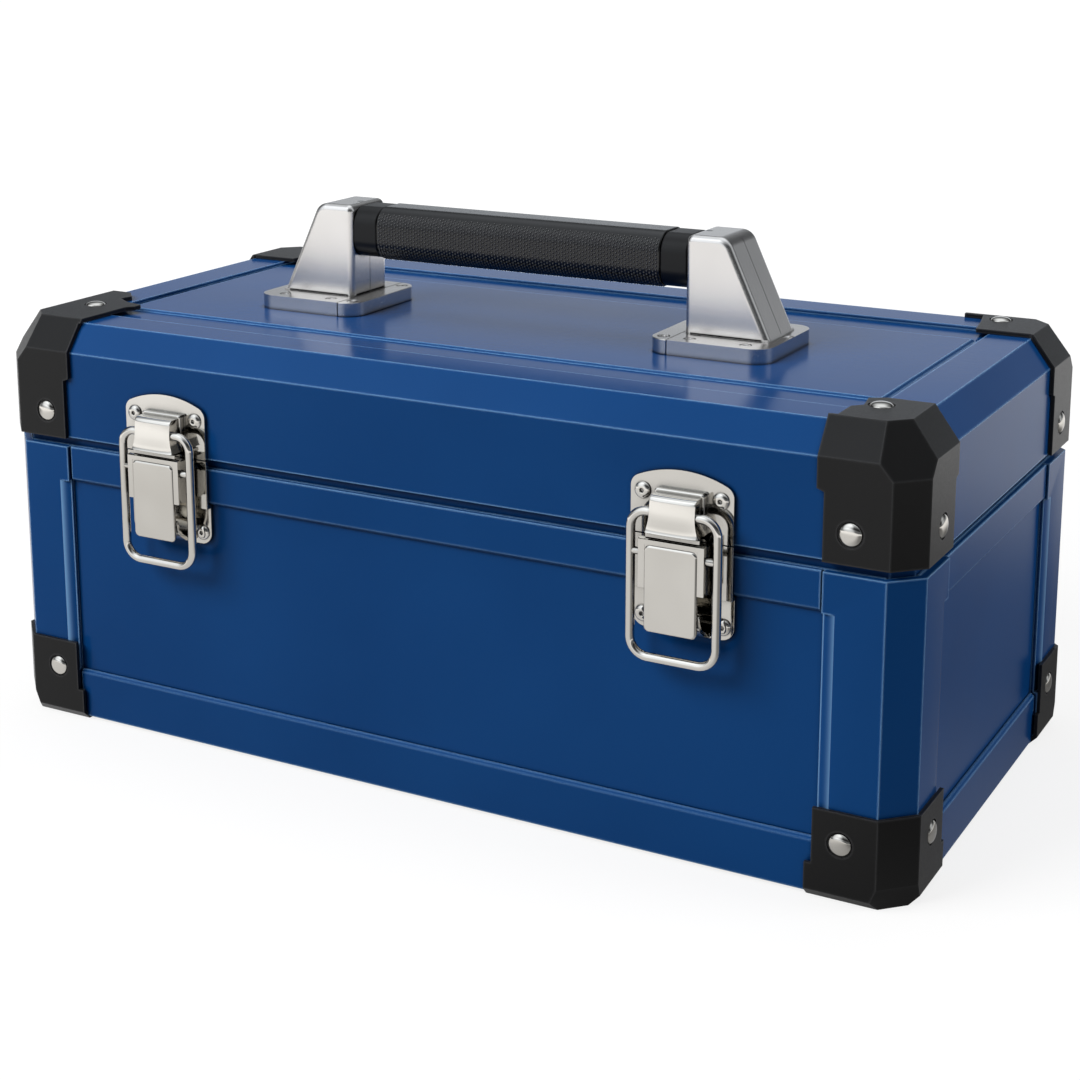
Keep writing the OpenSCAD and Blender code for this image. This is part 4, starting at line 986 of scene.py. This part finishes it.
# path: distance out from the box and share of the way up, below the bend at the top
hood = {"top": 0.1408, "low": 0.1274, "round": 0.0020, "root": 0.0010, "wide": (0.0087, 0.0101),
        "taper": 0.55, "across": (-1, -0.94, -0.8, -0.5, 0, 0.5, 0.8, 0.94, 1), "sag": 0.0004,
        "wall": 0.0012, "hollow": 0.0026, "rounding": 0.0008,
        "path": [(0.0109, 0.0), (0.0107, 0.06), (0.0106, 0.14), (0.01055, 0.24), (0.0105, 0.4),
                 (0.0104, 0.6), (0.0102, 0.8), (0.0099, 1.0)]}
ledge = {"half": 0.0097, "low": hood["low"], "top": 0.1421, "corner": 0.0014, "back": 0.0010, "front": 0.0041,
         "edge": 0.0007}


def hoodRings():
    # half width, distance out and height at each step up the hood, over its bend and back to the plate
    low, top, bend = hood["low"], hood["top"], hood["round"]
    path = [(out, low + (top - bend - low) * share) for out, share in hood["path"]]
    path += arc((path[-1][0] - bend, top - bend), bend, 0, 90, 9)[1:]
    path.append((hood["root"], top))
    narrow, wide = hood["wide"]
    rings = []
    for out, z in path:
        share = min(1.0, max(0.0, (z - low) / (hood["taper"] * (top - low))))
        rings.append((wide + (narrow - wide) * math.sin(share * math.pi / 2), out, z))
    return rings


def buildCatch(node, side):
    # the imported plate, with a ledge and a hood that is hollow from below on its front
    work = cutCopy(node, latchPoint(side, 0, latch["plate"] + latch["clear"], hood["low"]), (0, -1, 0))
    loft(work, plateRings(side, ledge))
    rings = hoodRings()
    rows = [[work.verts.new(latchPoint(side, half * share, out - hood["sag"] * abs(share) ** 4, z))
             for share in hood["across"]] for half, out, z in rings]
    backs = [[work.verts.new(latchPoint(side, end * half, hood["root"], z)) for half, out, z in rings[:-1]]
             for end in (-1, 1)]
    for first, second in zip(rows, rows[1:]):
        for k in range(len(first) - 1):
            work.faces.new((first[k], first[k + 1], second[k + 1], second[k]))
    for column, back in zip((0, -1), backs):
        for k in range(len(back)):
            # the last face of each cheek is a triangle, because the hood's top has no back point
            behind = [*back[k + 1:k + 2], back[k]]
            work.faces.new((rows[k][column], rows[k + 1][column], *behind))
    under = work.faces.new([*rows[0], backs[1][0], backs[0][0]])
    work.faces.new([*backs[0], *rows[-1], *reversed(backs[1])])
    bmesh.ops.recalc_face_normals(work, faces=work.faces)
    bmesh.ops.inset_region(work, faces=[under], thickness=hood["wall"], depth=0)
    for vert in under.verts:
        vert.co.z += hood["hollow"]
    standIn(node, work, hood["rounding"])


bail = {"z": 0.1345, "out": 0.0078, "half": 0.0167, "long": 0.054, "top": 0.006, "low": 0.007,
        "wire": 0.00172, "cross": 0.1194, "crossWire": 0.0014}


def tube(work, path, radius, closed, steps=20):
    # a round wire along points that lie in one plane facing the front
    rows = []
    count = len(path)
    turns = [2 * math.pi * k / steps for k in range(steps)]
    out = Vector((0, -1, 0))
    for k in range(count):
        before = path[k - 1] if closed or k else path[0]
        after = path[(k + 1) % count] if closed or k < count - 1 else path[-1]
        across = (Vector(after) - Vector(before)).normalized().cross(out)
        ways = [math.cos(turn) * across + math.sin(turn) * out for turn in turns]
        rows.append([work.verts.new(Vector(path[k]) + radius * way) for way in ways])
    pairs = list(zip(rows, rows[1:])) + ([(rows[-1], rows[0])] if closed else [])
    for first, second in pairs:
        for k in range(steps):
            after = (k + 1) % steps
            work.faces.new((first[k], first[after], second[after], second[k]))
    if not closed:
        work.faces.new(list(reversed(rows[0])))
        work.faces.new(rows[-1])


def buildBail(node, side):
    # a wire loop with rounded corners, and the cross wire that the lever turns on
    half, out = bail["half"], bail["out"]
    high, low = bail["z"] - bail["top"], bail["z"] - bail["long"] + bail["low"]
    loop = []
    for end, radius, z, start in ((1, bail["top"], high, 0), (-1, bail["top"], high, 90),
                                  (-1, bail["low"], low, 180), (1, bail["low"], low, 270)):
        loop += arc((end * (half - radius), z), radius, start, start + 90, 8)
    work = bmesh.new()
    tube(work, [latchPoint(side, x, out, z) for x, z in loop], bail["wire"], True)
    cross = [latchPoint(side, x, out, bail["cross"]) for x in (-half, half)]
    tube(work, cross, bail["crossWire"], False)
    standIn(node, work)


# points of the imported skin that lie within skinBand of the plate's front are moved to skinBack behind it
blade = {"half": 0.0101, "low": 0.0910, "top": 0.1230, "corner": 0.0022, "back": 0.00945, "front": 0.01095,
         "edge": 0.0009, "rounding": 0.0003, "skinBand": 0.0003, "skinBack": 0.0007}


def buildLever(node, side):
    # the pressed skin and its ears, with the raised front plate over them
    work = flatSolid(node)
    face = latch["y"] - blade["front"]
    for vert in work.verts:
        if vert.co.y < face + blade["skinBand"]:
            vert.co.y = max(vert.co.y, face + blade["skinBack"])
    loft(work, plateRings(side, blade))
    standIn(node, work, blade["rounding"])


for side, name in ((-1, "left"), (1, "right")):
    buildCatch(name + "_catch", side)
    buildBail(name + "_bail", side)
    buildLever(name + "_lever", side)
print("latches built")
